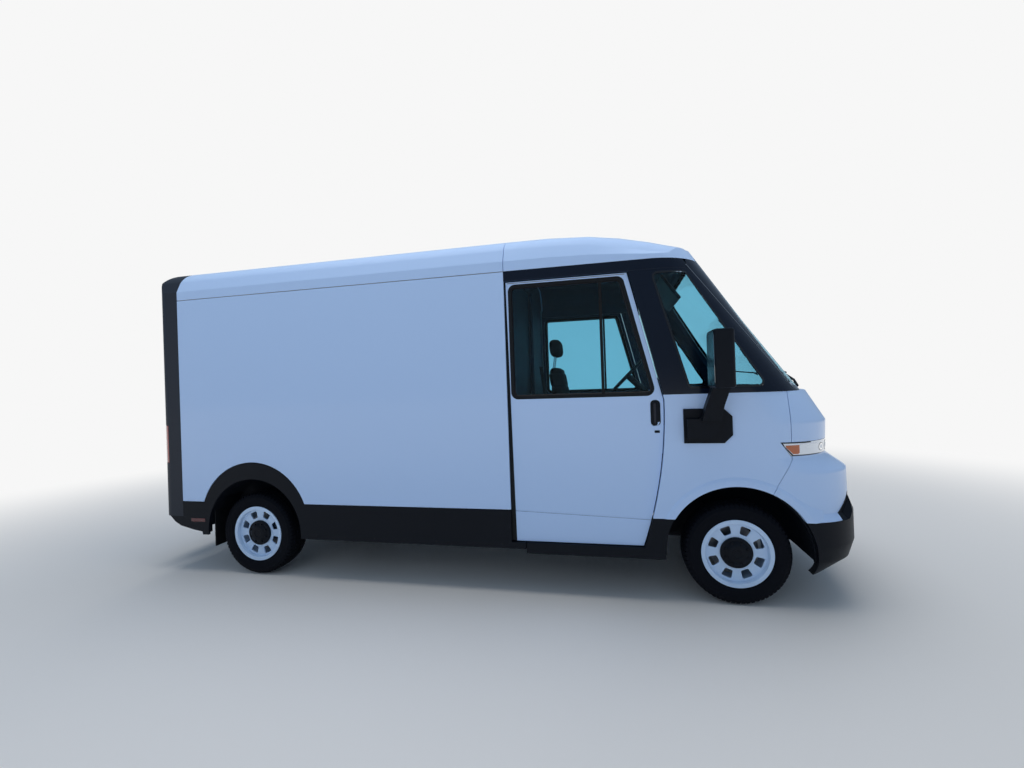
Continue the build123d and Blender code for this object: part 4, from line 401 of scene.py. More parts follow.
def tube(bm, path, radius, sides=10, flat=1.0):
    """A round or flattened bar along a path of points, with one radius or one for each point."""
    path = [Vector(p) for p in path]
    rings = []
    normal = None
    for i, here in enumerate(path):
        along = (path[min(i + 1, len(path) - 1)] - path[max(i - 1, 0)]).normalized()
        if normal is None:
            normal = along.orthogonal().normalized()
        normal = (normal - along * normal.dot(along)).normalized()
        across = along.cross(normal)
        ring = circle((0, 0), radius[i] if isinstance(radius, tuple) else radius, sides)
        rings.append([bm.verts.new(here + normal * u + across * v * flat) for u, v in ring])
    for here, there in zip(rings, rings[1:]):
        for k in range(sides):
            m = (k + 1) % sides
            bm.faces.new((here[k], here[m], there[m], there[k]))
    bm.faces.new(list(reversed(rings[0])))
    bm.faces.new(rings[-1])


def plate(name, material, body, slot_name, edge, outline, axis, low, high):
    """A flat piece: an outline between two places along an axis, with its edges rounded."""
    bm = bmesh.new()
    add_prism(bm, outline, axis, low, high)
    piece = object_from(bm, name, material, body, slot_name)
    if edge:
        round_edges(piece, edge)


def boxes(name, material, slot_name, corners):
    """A piece of the van's body made of upright boxes, each between two corners."""
    bm = bmesh.new()
    for low, high in corners:
        add_box(bm, low, high)
    return object_from(bm, name, material, "van_body", slot_name)


def bar(name, material, slot_name, paths, radius, sides, flat=1.0):
    """A piece of the van's body made of bars along some paths."""
    bm = bmesh.new()
    for path in paths:
        tube(bm, path, radius, sides, flat)
    object_from(bm, name, material, "van_body", slot_name)


def spaced(low, high, count):
    """Evenly spaced places from one end to the other."""
    return [low + (high - low) * k / (count - 1) for k in range(count)]


# Panels of the frame, with their edges rounded

# Columns: finish, material slot, another finish for the faces inside, and the nodes with their edge radii
PANELS = (
    (WHITE_PAINT_SHADE_TINT, "body_paint", None, {"cargo_sides": 0.003}),
    (REAR_PLASTIC, "rear_grey", None, {"rear_frame": 0.004}),
    (SATIN_BLACK, "black_trim", None, {
        "sill_panels": 0.005, "door_steps": 0.005, "front_bumper": 0.008, "lower_grille": 0.002,
        "mirrors": 0.004, "cowl": 0.003, "wheel_housings": 0, "rear_wheel_housings": 0,
    }),
    (GLOSS_BLACK, "black_trim", CAB_GREY, {"cab_pillars": 0.003, "cant_rails": 0.003}),
    (FRAME_BLACK, "chassis_black", None, {
        "rear_step": 0.004, "seat_base": 0.004, "chassis_rails": 0.004, "cross_members": 0.004,
        "firewall": 0,
    }),
    (WHITE_PAINT_SHADE_TINT, "body_paint", CAB_GREY, {"side_door_right": 0.004, "side_door_left": 0.004}),
    (WHITE_PAINT_SHADE_TINT, "body_paint", WALL_LINING, {"rear_door_right": 0.003, "rear_door_left": 0.003}),
    (SEAL_RUBBER, "black_trim", None, {"side_door_trim_right": 0.002, "side_door_trim_left": 0.002}),
    (RED_LENS, "tail_lens", None, {"tail_lamps": 0.004}),
    (CAB_GREY, "lining", None, {"bulkhead": 0.003, "bulkhead_door": 0.003}),
    (CAB_PLASTIC, "cab_plastic", None, {"dashboard": 0.012, "steering_wheel": 0.003}),
    (SEAL_RUBBER, "soft_rubber", None, {"mud_flaps": 0.002}),
    (BATTERY_CASE, "battery_case", None, {"battery_pack": 0.015}),
    (LOAD_DECK, "deck", None, {"floor": 0.002}),
    (CAST_METAL, "cast_parts", None, {
        "rear_axle": 0.003, "front_suspension": 0.003, "knuckle_right": 0.002, "knuckle_left": 0.002,
    }),
    (WALL_LINING, "lining", None, {"cargo_linings": 0}),
    (LAMP_SILVER, "lamp_lens", None, {"headlamps": 0.002}),
)
for material, slot_name, inner, nodes in PANELS:
    for node, width in nodes.items():
        softened(node, material, slot_name, width, inner)
softened("roof_panel", WHITE_PAINT_SHADE_TINT, "roof_skin", 0.004, WALL_LINING, angle=16)
softened("roof_cap", WHITE_PAINT_SHADE_TINT, "roof_skin", 0.003, CAB_GREY, angle=17)
for side, hand in SIDES:
    for axle in ("front", "rear"):
        softened(f"rim_{axle}_{hand}", RIM_PAINT_SHADE_TINT, "rim_paint", 0.002)


# Nose and fenders: the corners shaded as the true curves

CREASE_HALF = 0.016
ON_SURFACE = 0.003
LEDGE_END_Z = 0.678
# The bumper's corner: the paint ends on a slant from the fascia up to the lip
FASCIA_Z, LIP_LOW_Y, LIP_TOP_Z = 0.600, 0.945, 0.760


def front_x(sections, z):
    """Foremost X of a front surface at a height, and how far it runs back or forward as it rises."""
    rows = [(z0, x0, z1, x1) for (z0, x0), (z1, x1) in zip(sections, sections[1:])]
    slopes = [(x1 - x0) / (z1 - z0) for z0, x0, z1, x1 in rows]
    for k, (z0, x0, z1, x1) in enumerate(rows):
        if z <= z1 or k == len(rows) - 1:
            slope = slopes[k]
            if k and z - z0 < CREASE_HALF:
                share = 0.5 + (z - z0) / CREASE_HALF / 2
                slope = slopes[k - 1] * (1 - share) + slope * share
            elif k + 1 < len(rows) and z1 - z < CREASE_HALF:
                share = 0.5 + (z1 - z) / CREASE_HALF / 2
                slope = slopes[k + 1] * (1 - share) + slope * share
            return x0 + (z - z0) * slopes[k], slope
    raise ValueError(z)


def front_surface(point, sections, corner, corner_y):
    """Distance of a point from a front surface, and the surface's own direction there."""
    x, y, z = point
    nose_x, slope = front_x(sections, z)
    bow_x = nose_x - BOW_RADIUS
    corner_x = bow_x + math.sqrt((BOW_RADIUS - corner) ** 2 - corner_y ** 2)
    side = math.copysign(1, y)
    if x <= corner_x:
        return abs(y) - HALF_WIDTH, Vector((0, side, 0))
    out = Vector((x - corner_x, abs(y) - corner_y))
    if out.y > 0 and out.y / out.x > corner_y / (corner_x - bow_x):
        away, flat = out.length - corner, out.normalized()
    else:
        out = Vector((x - bow_x, abs(y)))
        away, flat = out.length - BOW_RADIUS, out.normalized()
    return away, Vector((flat.x, flat.y * side, -flat.x * slope)).normalized()


def nose_surface(point):
    """The same for the nose above the bumper."""
    return front_surface(point, NOSE_SECTIONS, NOSE_CORNER, NOSE_CORNER_Y)


def ledge_surface(point):
    """The same for the ledge over the bumper, with a far distance for a point above it."""
    if point[2] >= LEDGE_END_Z:
        return 1, None
    return front_surface(point, LEDGE_SECTIONS, LEDGE_CORNER, LEDGE_CORNER_Y)


def flare_surface(point):
    """The same for the flare round the wheel arch."""
    x, y, z = point
    across = Vector((x - ARCH_X, z - ARCH_Z))
    away = (abs(y) - FLARE_Y) + (across.length - FLARE_RADIUS) / FLARE_SLOPE
    across.normalize()
    normal = Vector((across.x / FLARE_SLOPE, math.copysign(1, y), across.y / FLARE_SLOPE))
    return away / normal.length, normal.normalized()


def nose_piece(node):
    """A copy of a front panel with loops beside each crease and with the curves' own shading."""
    bm = merged(node, flatten=False)
    for z, _ in NOSE_SECTIONS[1:-1]:
        cut_across(bm, (0, 0, z - CREASE_HALF), (0, 0, 1))
        cut_across(bm, (0, 0, z + CREASE_HALF), (0, 0, 1))
    for side, _ in SIDES:
        cut_across(bm, (0, side * LIP_LOW_Y, FASCIA_Z), (0, side, 1))
    for face in bm.faces:
        middle = face.calc_center_median()
        under_slant = abs(middle.y) + middle.z < LIP_LOW_Y + FASCIA_Z and middle.z < LIP_TOP_Z
        face.material_index = int(node == "nose_panel" and under_slant)
    piece = object_from(bm, node + "_panel", WHITE_PAINT_SHADE_TINT, body_of(node), "body_paint", node, angle=20)
    piece.data.materials.append(SATIN_BLACK)
    mesh = piece.data
    surfaces = (nose_surface, ledge_surface, flare_surface)
    normals = [Vector(normal.vector) for normal in mesh.corner_normals]
    for face in mesh.polygons:
        points = [mesh.vertices[i].co for i in face.vertices]
        best = None
        for surface in surfaces:
            found = [surface(p) for p in points]
            worst = max(abs(away) for away, _ in found)
            alike = worst < ON_SURFACE and face.normal.dot(found[0][1]) > ALONG
            if alike and (best is None or worst < best[0]):
                best = (worst, found)
        if best:
            for loop, (_, normal) in zip(face.loop_indices, best[1]):
                normals[loop] = normal
    mesh.normals_split_custom_set(normals)


for node in ("nose_panel", "fenders"):
    nose_piece(node)


# Glass, with its dark printed border

def bordered_glass(node, glass, outward, border):
    """A pane of the frame in glass, with a black printed band round the edge of its outer face."""
    bm = merged(node)
    bm.normal_update()
    outer = [face for face in bm.faces if outward(face.normal) > OUTWARDS]
    band = bmesh.ops.inset_region(bm, faces=outer, thickness=border, use_even_offset=True)["faces"]
    for face in band:
        face.material_index = 1
    piece = object_from(bm, node + "_pane", glass, body_of(node), "cab_glass", node)
    piece.data.materials.append(SCREEN_DARK)


bordered_glass("windscreen", SCREEN_GLASS, lambda normal: normal.x, 0.040)
bordered_glass("quarter_glass", CAB_GLASS, lambda normal: abs(normal.y), 0.016)
for side, hand in SIDES:
    bordered_glass(f"side_door_glass_{hand}", CAB_GLASS, lambda normal, side=side: side * normal.y, 0.008)
    bordered_glass(f"rear_door_glass_{hand}", CAB_GLASS, lambda normal: -normal.x, 0.018)


# Thin pieces laid on the frame's surfaces

# Where the rays that lay a sheet start, and how deep the sheet goes in
START_Y, START_X, SINK = 2.0, 3.4, 0.002


def surface_of(*nodes):
    """A search tree over the faces of some nodes."""
    bm = bmesh.new()
    for node in nodes:
        bm.from_mesh(NODES[node].data)
    tree = BVHTree.FromBMesh(bm)
    bm.free()
    return tree


def draped(name, tree, outline, axis, side, lift, material, body, slot_name, step):
    """Lays a filled outline, seen along an axis, on a surface as a thin closed sheet that stands off it."""
    bm = bmesh.new()
    start = START_Y if axis == 1 else START_X
    corners = []
    for pair in outline:
        point = list(pair)
        point.insert(axis, side * start)
        corners.append(bm.verts.new(point))
    bm.faces.new(corners)
    for k in {0, 1, 2} - {axis}:
        values = [vert.co[k] for vert in bm.verts]
        cut = (math.floor(min(values) / step) + 1) * step
        while cut < max(values) - 1e-4:
            place, normal = Vector(), Vector()
            place[k], normal[k] = cut, 1
            cut_across(bm, place, normal)
            cut += step
    ray = Vector()
    ray[axis] = -side
    for vert in bm.verts:
        hit = tree.ray_cast(vert.co, ray)[0]
        vert.co = (hit if hit else tree.find_nearest(vert.co)[0]) + ray * SINK
    grown = bmesh.ops.extrude_face_region(bm, geom=bm.faces[:])["geom"]
    for item in grown:
        if isinstance(item, bmesh.types.BMVert):
            item.co -= ray * (lift + SINK)
    object_from(bm, name, material, body, slot_name)


def strip(points, width):
    """Outline of a band of one width along a path in a plane."""
    path = [Vector(p) for p in points]
    left, right = [], []
    for i, here in enumerate(path):
        along = (path[min(i + 1, len(path) - 1)] - path[max(i - 1, 0)]).normalized()
        across = Vector((-along.y, along.x)) * width / 2
        left.append(tuple(here + across))
        right.append(tuple(here - across))
    return left + right[::-1]


# Headlamps: amber at the rear, clear in front, in a dark frame

LAMP_SKIN = surface_of("headlamps")
LAMP_TRIM_LIFT = 0.0012
# Side view. Columns: name, finish, outline
LAMP_SIDE = (
    ("lamp_frame_top", SATIN_BLACK, ((2.350, 1.131), (2.350, 1.125), (2.560, 1.123), (2.560, 1.131))),
    ("lamp_frame_rear", SATIN_BLACK, (
        (2.352, 1.130), (2.360, 1.130), (2.376, 1.102), (2.426, 1.050), (2.421, 1.043), (2.366, 1.097),
    )),
    ("lamp_frame_low", SATIN_BLACK, ((2.418, 1.041), (2.421, 1.046), (2.640, 1.044), (2.640, 1.041))),
    ("amber_insert", AMBER_LENS, (
        (2.378, 1.112), (2.474, 1.112), (2.474, 1.060), (2.466, 1.052), (2.430, 1.052), (2.384, 1.096),
    )),
    ("lamp_bar", LAMP_WHITE, ((2.376, 1.121), (2.640, 1.119), (2.640, 1.115), (2.378, 1.116))),
)
# Round lamps, seen from the front. Columns: distance from the middle, radius
ROUND_LAMPS = ((0.640, 0.036), (0.755, 0.036), (0.852, 0.028))
ROUND_LAMP_Z = 1.084
# Columns: name, finish, share of the lamp's radius, lift
LAMP_RINGS = (
    ("ring", SATIN_BLACK, 1.00, 0.0010),
    ("bowl", LAMP_CHROME, 0.88, 0.0016),
    ("bulb", LAMP_WHITE, 0.45, 0.0030),
)
for side, hand in SIDES:
    for name, material, outline in LAMP_SIDE:
        draped(f"{name}_{hand}", LAMP_SKIN, outline, 1, side, LAMP_TRIM_LIFT, material, "van_body",
               "lamp_lens", step=0.03)
    for k, (place_y, radius) in enumerate(ROUND_LAMPS):
        for name, material, share, lift in LAMP_RINGS:
            outline = circle((side * place_y, ROUND_LAMP_Z), radius * share, 24)
            draped(f"lamp_{name}_{k}_{hand}", LAMP_SKIN, outline, 0, 1, lift, material, "van_body",
                   "lamp_lens", step=0.02)


# Doors, mirrors and the low skirt behind the rear wheel

# Seen from the side. Columns: name, finish, body, slot, edge, centre, size, corner radius, from Y, to Y
SIDE_PLATES = (
    ("door_grip", GLOSS_BLACK, "door_{}", "black_trim", 0.003, (1.549, 1.346), (0.020, 0.150), 0.009,
     1.000, 1.0120),
    ("door_lock", SATIN_BLACK, "door_{}", "black_trim", 0.0015, (1.560, 1.214), (0.036, 0.018), 0.004,
     1.004, 1.0085),
    ("side_reflector", DARK_RED_LENS, "van_body", "tail_lens", 0.0015, (-2.395, 0.472), (0.150, 0.030), 0.008,
     1.029, 1.033),
)
HANDLE_PLATE = rounded_rectangle((1.5525, 1.348), (0.068, 0.184), 0.030, 6)
HANDLE_LIFT = 0.002
# A thin dull-metal grey line along the top of each door window: a painted highlight, the light caught by the
# top edge of the window frame
WINDOW_HIGHLIGHT = ((0.500, 2.3545), (1.370, 2.3545))
WINDOW_HIGHLIGHT_WIDTH, WINDOW_HIGHLIGHT_LIFT = 0.005, 0.001
# A thin dull-metal grey strip on each pillar along the windscreen's side edge: a painted highlight, the light
# caught by the screen's seal
SCREEN_HIGHLIGHT = ((1.800, 2.402), (2.150, 1.948), (2.480, 1.505))
SCREEN_HIGHLIGHT_WIDTH, SCREEN_HIGHLIGHT_LIFT = 0.006, 0.0015
# Rear face of a mirror. Columns: name, finish, size, corner radius, from X, to X
MIRROR_FACE = (
    ("mirror_rim", GLOSS_BLACK, (0.204, 0.344), 0.024, 1.8788, 1.8800),
    ("mirror_glass", MIRROR_GLASS, (0.192, 0.330), 0.020, 1.8795, 1.8820),
)
MIRROR_Y, MIRROR_Z = 1.263, 1.703
SKIRT = (
    (-2.700, 0.520), (-2.700, 0.497), (-2.650, 0.448), (-2.588, 0.414), (-2.450, 0.382), (-2.300, 0.358),
    (-2.290, 0.362), (-2.290, 0.460), (-2.400, 0.475), (-2.600, 0.520),
)
SKIRT_IN_Y, SKIRT_OUT_Y = 0.985, 1.0285

PILLAR_SKIN = surface_of("cab_pillars", "roof_cap", "windscreen", "quarter_glass")
for side, hand in SIDES:
    door_body = f"door_{hand}"
    door_skin = surface_of(f"side_door_{hand}")
    draped(f"handle_plate_{hand}", door_skin, HANDLE_PLATE, 1, side, HANDLE_LIFT, SATIN_BLACK, door_body,
           "black_trim", step=0.2)
    # Painted highlight along the top of the door window
    draped(f"window_frame_highlight_{hand}", door_skin, strip(WINDOW_HIGHLIGHT, WINDOW_HIGHLIGHT_WIDTH), 1, side,
           WINDOW_HIGHLIGHT_LIFT, DULL_METAL, door_body, "black_trim", step=0.2)
    # Painted highlight of the windscreen's seal
    draped(f"screen_seal_highlight_{hand}", PILLAR_SKIN, strip(SCREEN_HIGHLIGHT, SCREEN_HIGHLIGHT_WIDTH), 1, side,
           SCREEN_HIGHLIGHT_LIFT, DULL_METAL, "van_body", "black_trim", step=0.06)
    for name, material, body, slot_name, edge, centre, size, radius, low, high in SIDE_PLATES:
        plate(f"{name}_{hand}", material, body.format(hand), slot_name, edge,
              rounded_rectangle(centre, size, radius), 1, side * low, side * high)
    for name, material, size, radius, low, high in MIRROR_FACE:
        plate(f"{name}_{hand}", material, "van_body", "black_trim", 0,
              rounded_rectangle((side * MIRROR_Y, MIRROR_Z), size, radius), 0, low, high)
    plate(f"rear_skirt_{hand}", SATIN_BLACK, "van_body", "black_trim", 0.003, SKIRT, 1,
          side * SKIRT_IN_Y, side * SKIRT_OUT_Y)


# Wipers

SCREEN_SKIN = surface_of("windscreen")
PIVOT_Z, PIVOT_LIFT, BLADE_LIFT = 1.500, 0.010, 0.012
BLADE_RADIUS, ARM_RADII = 0.006, (0.011, 0.009, 0.006)
BLADE_POINTS, ELBOW_SHARE = 11, 0.25
# How far the arm stands off the line from pivot to blade, at its elbow and at the blade
ELBOW_OFF, BLADE_OFF = Vector((0.016, 0, 0.010)), Vector((0.008, 0, 0.004))
# Columns: pivot's Y, blade's inner end and outer end as Y and Z
WIPERS = ((-0.62, (-0.58, 1.60), (0.02, 1.66)), (0.02, (0.06, 1.60), (0.66, 1.64)))


def on_screen(y, z, lift):
    """A point just off the windscreen, seen from the front."""
    place, normal = SCREEN_SKIN.ray_cast(Vector((START_X, y, z)), Vector((-1, 0, 0)))[:2]
    return place + normal * lift


for k, (pivot_y, inner, outer) in enumerate(WIPERS):
    bm = bmesh.new()
    places = zip(spaced(inner[0], outer[0], BLADE_POINTS), spaced(inner[1], outer[1], BLADE_POINTS))
    blade = [on_screen(y, z, BLADE_LIFT) for y, z in places]
    tube(bm, blade, BLADE_RADIUS, sides=8)
    pivot, middle = on_screen(pivot_y, PIVOT_Z, PIVOT_LIFT), blade[BLADE_POINTS // 2]
    tube(bm, [pivot, pivot.lerp(middle, ELBOW_SHARE) + ELBOW_OFF, middle + BLADE_OFF], ARM_RADII, sides=8)
    object_from(bm, f"wiper_{k}", SATIN_BLACK, "van_body", "black_trim")


# Rear end: lamp segments and door levers

# Columns: low Z, high Z, finish
TAIL_SEGMENTS = ((0.992, 1.075, LAMP_WHITE), (1.085, 1.170, AMBER_LENS), (1.180, 1.308, RED_LENS))
TAIL_Y, TAIL_WIDTH, TAIL_CORNER, TAIL_LIFT = 0.972, 0.048, 0.008, 0.002
LEVER_Y, LEVER_TOP_Z, LEVER_LOW_Z, LEVER_RADIUS = 0.085, 1.290, 1.200, 0.009
LEVER_PLATE_Z, LEVER_PLATE_SIZE, LEVER_PLATE_CORNER = 1.250, (0.050, 0.180), 0.010
# How far the lever's plate and handle stand behind the doors
LEVER_PLATE_OUT, LEVER_BEND_OUT, LEVER_END_OUT = 0.004, 0.030, 0.034

TAIL_SKIN = surface_of("tail_lamps")
for side, hand in SIDES:
    for k, (low, high, material) in enumerate(TAIL_SEGMENTS):
        outline = rounded_rectangle((side * TAIL_Y, (low + high) / 2), (TAIL_WIDTH, high - low), TAIL_CORNER)
        draped(f"tail_segment_{k}_{hand}", TAIL_SKIN, outline, 0, -1, TAIL_LIFT, material, "van_body",
               "tail_lens", step=0.03)
    bm = bmesh.new()
    lever_plate = rounded_rectangle((side * LEVER_Y, LEVER_PLATE_Z), LEVER_PLATE_SIZE, LEVER_PLATE_CORNER)
    add_prism(bm, lever_plate, 0, REAR_X - LEVER_PLATE_OUT, REAR_X + 0.001)
    tube(bm, [
        (REAR_X - LEVER_PLATE_OUT, side * LEVER_Y, LEVER_TOP_Z),
        (REAR_X - LEVER_BEND_OUT, side * LEVER_Y, LEVER_TOP_Z),
        (REAR_X - LEVER_END_OUT, side * LEVER_Y, LEVER_LOW_Z),
    ], LEVER_RADIUS)
    object_from(bm, f"rear_lever_{hand}", SATIN_BLACK, f"back_door_{hand}", "black_trim")


# Rows of small round parts: one tree that sets a button on every point

BUTTON_TAPER = 0.72


def button_tree():
    """Sets a low round button, turned as asked, on each point of a mesh."""
    tree = bpy.data.node_groups.new("button_rows", "GeometryNodeTree")
    for name, kind in (("Points", "Geometry"), ("Radius", "Float"), ("Height", "Float"), ("Sides", "Int"),
                       ("Turn", "Vector"), ("Finish", "Material")):
        group_socket(tree, name, "INPUT", kind)
    group_socket(tree, "Buttons", "OUTPUT", "Geometry")
    given = tree.nodes.new("NodeGroupInput").outputs
    top = math_node(tree, "MULTIPLY", given["Radius"], BUTTON_TAPER)
    button = add_node(tree, "GeometryNodeMeshCone", {
        "Vertices": given["Sides"], "Radius Top": top, "Radius Bottom": given["Radius"],
        "Depth": given["Height"],
    })
    points = add_node(tree, "GeometryNodeMeshToPoints", {"Mesh": given["Points"]})
    turned = add_node(tree, "FunctionNodeEulerToRotation", {0: given["Turn"]})
    spread = add_node(tree, "GeometryNodeInstanceOnPoints", {
        "Points": points.outputs["Points"], "Instance": button.outputs["Mesh"], "Rotation": turned.outputs[0],
    })
    real = add_node(tree, "GeometryNodeRealizeInstances", {"Geometry": spread.outputs["Instances"]})
    painted = add_node(tree, "GeometryNodeSetMaterial", {
        "Geometry": real.outputs["Geometry"], "Material": given["Finish"],
    })
    add_node(tree, "NodeGroupOutput", {"Buttons": painted.outputs["Geometry"]})
    return tree


BUTTONS = button_tree()
TURNS = {"+x": (0, math.pi / 2, 0), "-x": (0, -math.pi / 2, 0), "+y": (-math.pi / 2, 0, 0),
         "-y": (math.pi / 2, 0, 0), "+z": (0, 0, 0), "-z": (math.pi, 0, 0)}


def button_row(name, points, facing, radius, height, material, slot_name, sides):
    """A piece of the van's body: buttons on a list of points, all facing one way."""
    carrier_mesh = bpy.data.meshes.new(name + "_points")
    carrier_mesh.from_pydata(points, [], [])
    carrier = placed(name + "_points", carrier_mesh)
    modifier = carrier.modifiers.new("buttons", "NODES")
    modifier.node_group = BUTTONS
    named = {item.name: item.identifier for item in BUTTONS.interface.items_tree if item.in_out == "INPUT"}
    for label, value in (("Radius", radius), ("Height", height), ("Sides", sides), ("Turn", TURNS[facing]),
                         ("Finish", material)):
        modifier[named[label]] = value
    mesh = evaluated(carrier)
    mesh.name = name
    bpy.data.objects.remove(carrier)
    smooth_by_angle(mesh, 40)
    if not mesh.materials:
        mesh.materials.append(material)
    piece = placed(name, mesh)
    settle(piece, "van_body", slot_name)


BOLT_MARGIN = 0.03
HINGE_X, HINGE_Y, HINGE_HEIGHTS, HINGE_SCREWS_OFF = -2.7975, 0.905, (0.90, 1.57, 2.20), (-0.05, 0.05)
FLAP_BOLT_X, FLAP_BOLT_Y, FLAP_BOLT_Z = -2.255, (0.81, 0.88, 0.95), 0.600
CLIP_Y, CLIP_Z = 1.0302, 0.375
STEP_STUD_Z, REAR_STUD_Z = 0.391, 0.502

pack_low, pack_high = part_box("battery_pack")
bolt_z = pack_low[2] - 0.002
rail_bolts = [(x, y, bolt_z) for x in spaced(pack_low[0] + 0.05, pack_high[0] - 0.05, 16)
              for y in (pack_low[1] + BOLT_MARGIN, pack_high[1] - BOLT_MARGIN)]
end_bolts = [(x, y, bolt_z) for x in (pack_low[0] + BOLT_MARGIN, pack_high[0] - BOLT_MARGIN)
             for y in spaced(pack_low[1] + 0.12, pack_high[1] - 0.12, 7)]
step_points = [(x, y, REAR_STUD_Z) for x in spaced(-2.985, -2.840, 5) for y in spaced(-0.70, 0.70, 29)]
button_row("battery_bolts", rail_bolts + end_bolts, "-z", 0.010, 0.008, DULL_METAL, "battery_case", 6)
button_row("rear_step_studs", step_points, "+z", 0.008, 0.004, DULL_METAL, "chassis_black", 8)
for side, hand in SIDES:
    outward = "-y" if side < 0 else "+y"
    screws = [(HINGE_X, side * HINGE_Y, z + off) for z in HINGE_HEIGHTS for off in HINGE_SCREWS_OFF]
    washers = [(FLAP_BOLT_X, side * y, FLAP_BOLT_Z) for y in FLAP_BOLT_Y]
    clips = [(x, side * CLIP_Y, CLIP_Z) for x in spaced(-1.20, 0.40, 7)]
    studs = [(x, side * y, STEP_STUD_Z) for x in spaced(0.70, 1.36, 12) for y in spaced(0.76, 0.92, 4)]
    button_row(f"hinge_screws_{hand}", screws, "-x", 0.005, 0.003, DULL_METAL, "rear_grey", 8)
    button_row(f"flap_washers_{hand}", washers, "+x", 0.011, 0.004, DULL_METAL, "soft_rubber", 10)
    button_row(f"sill_clips_{hand}", clips, outward, 0.007, 0.0015, SEAL_RUBBER, "black_trim", 12)
    button_row(f"step_studs_{hand}", studs, "+z", 0.007, 0.003, DULL_METAL, "black_trim", 8)


# Load floor: raised ribs along it, shorter over the wheel housings

RIB_HALF, RIB_LOW_Z, RIB_TOP_Z = 0.004, 0.6995, 0.7030
RIB_FRONT_X, RIB_REAR_X, HOUSING_FRONT_X, HOUSING_Y = 0.37, -2.50, -1.30, 0.70
ribs = []
for y in spaced(-0.90, 0.90, 31):
    rear = RIB_REAR_X if abs(y) < HOUSING_Y else HOUSING_FRONT_X
    ribs.append(((rear, y - RIB_HALF, RIB_LOW_Z), (RIB_FRONT_X, y + RIB_HALF, RIB_TOP_Z)))
boxes("floor_ribs", LOAD_DECK, "deck", ribs)


# Cab: padded seat, displays, sun visors and air vents

# How much smaller a pad starts, how far a point may move, how hard it's filled and for how long
PAD_SHRINK, PAD_REACH = 0.014, 0.016
PAD_PRESSURE, PAD_FRAMES = 4.0, 20
SEAM_WIDTH = 0.035


def swollen(form, cell):
    """Fills a closed pad by a short cloth run under pressure; each point stays within reach of its start."""
    mesh = bpy.data.meshes.new("pad_form")
    form.to_mesh(mesh)
    pad = placed("pad_form", mesh)
    even = pad.modifiers.new("even_cells", "REMESH")
    even.mode, even.voxel_size = "VOXEL", cell
    pad.data = evaluated(pad)
    pad.modifiers.clear()
    starts = [vert.co.copy() for vert in pad.data.vertices]
    filling = pad.modifiers.new("filling", "CLOTH")
    filling.settings.quality = 4
    filling.settings.use_pressure = True
    filling.settings.uniform_pressure_force = PAD_PRESSURE
    filling.settings.effector_weights.gravity = 0.0
    filling.point_cache.frame_start, filling.point_cache.frame_end = 1, PAD_FRAMES
    for moment in range(1, PAD_FRAMES + 1):
        bpy.context.scene.frame_set(moment)
    filled = evaluated(pad)
    bpy.data.objects.remove(pad)
    bpy.context.scene.frame_set(1)
    for vert, start in zip(filled.vertices, starts):
        moved = vert.co - start
        if moved.length > PAD_REACH:
            vert.co = start + moved.normalized() * PAD_REACH
    form.clear()
    form.from_mesh(filled)


def stuffed(name, low, high, node, squareness, swelling, axis, cell, seams=(), deep=0.0, lean=0.0,
            replaced=()):
    """A padded form between two corners: crowned, sides pulled in, channels across an axis, and a lean."""
    low, high = Vector(low), Vector(high)
    middle, half = (low + high) / 2, (high - low) / 2 - Vector((PAD_SHRINK,) * 3)
    bm = bmesh.new()
    bmesh.ops.create_cube(bm, size=2.0)
    bmesh.ops.subdivide_edges(bm, edges=bm.edges[:], cuts=15, use_grid_fill=True)
    for vert in bm.verts:
        p = vert.co.copy()
        p /= sum(abs(value) ** squareness for value in p) ** (1 / squareness)
        swell = (1 + swelling * (1 - p[axis] ** 2)) / (1 + swelling)
        vert.co = middle + Vector((p.x * half.x + lean * p.z, p.y * half.y, p.z * half.z)) * swell
    swollen(bm, cell)
    bm.normal_update()
    for vert, normal in [(vert, vert.normal.copy()) for vert in bm.verts]:
        place = (vert.co[axis] - middle[axis]) / half[axis]
        nearest = min((abs(place - seam) for seam in seams), default=1.0)
        vert.co -= normal * deep * math.exp(-(nearest / SEAM_WIDTH) ** 2)
    piece = object_from(bm, name, SEAT_CLOTH, body_of(node), "seat_cloth", *replaced, angle=180)
    rounded = piece.modifiers.new("cover", "SUBSURF")
    rounded.levels = rounded.render_levels = 1


BACK_TOP_Z, BACK_LEAN = 1.790, 0.055
HEADREST_LOW, HEADREST_HIGH = (0.618, 0.290, 1.845), (0.772, 0.570, 2.060)
POSTS = [((0.665, y, 1.740), (0.690, y, 1.900)) for y in (0.365, 0.495)]
BELT = ((0.560, 0.190, 1.760), (0.610, 0.150, 1.400), (0.700, 0.160, 1.080))
cushion_low, cushion_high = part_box("seat_cushion")
back_low, back_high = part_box("seat_back")
stuffed("driver_cushion", cushion_low, cushion_high, "seat_cushion", squareness=7, swelling=0.06, axis=1,
        cell=0.007, seams=(-0.62, 0.0, 0.62), deep=0.008, replaced=("seat_cushion",))
stuffed("driver_backrest", (back_low[0] + BACK_LEAN, back_low[1], back_low[2]),
        (back_high[0] - BACK_LEAN, back_high[1], BACK_TOP_Z), "seat_back", squareness=6, swelling=0.05,
        axis=2, cell=0.007, seams=(-0.55, -0.1, 0.35, 0.75), deep=0.007, lean=-BACK_LEAN,
        replaced=("seat_back",))
stuffed("driver_headrest", HEADREST_LOW, HEADREST_HIGH, "seat_back", squareness=4, swelling=0.04, axis=2,
        cell=0.006, lean=-0.008)
bar("headrest_posts", BRIGHT_METAL, "seat_cloth", POSTS, 0.007, 10)
bar("seat_belt", SEAT_CLOTH, "seat_cloth", [BELT], 0.022, 8, flat=0.08)

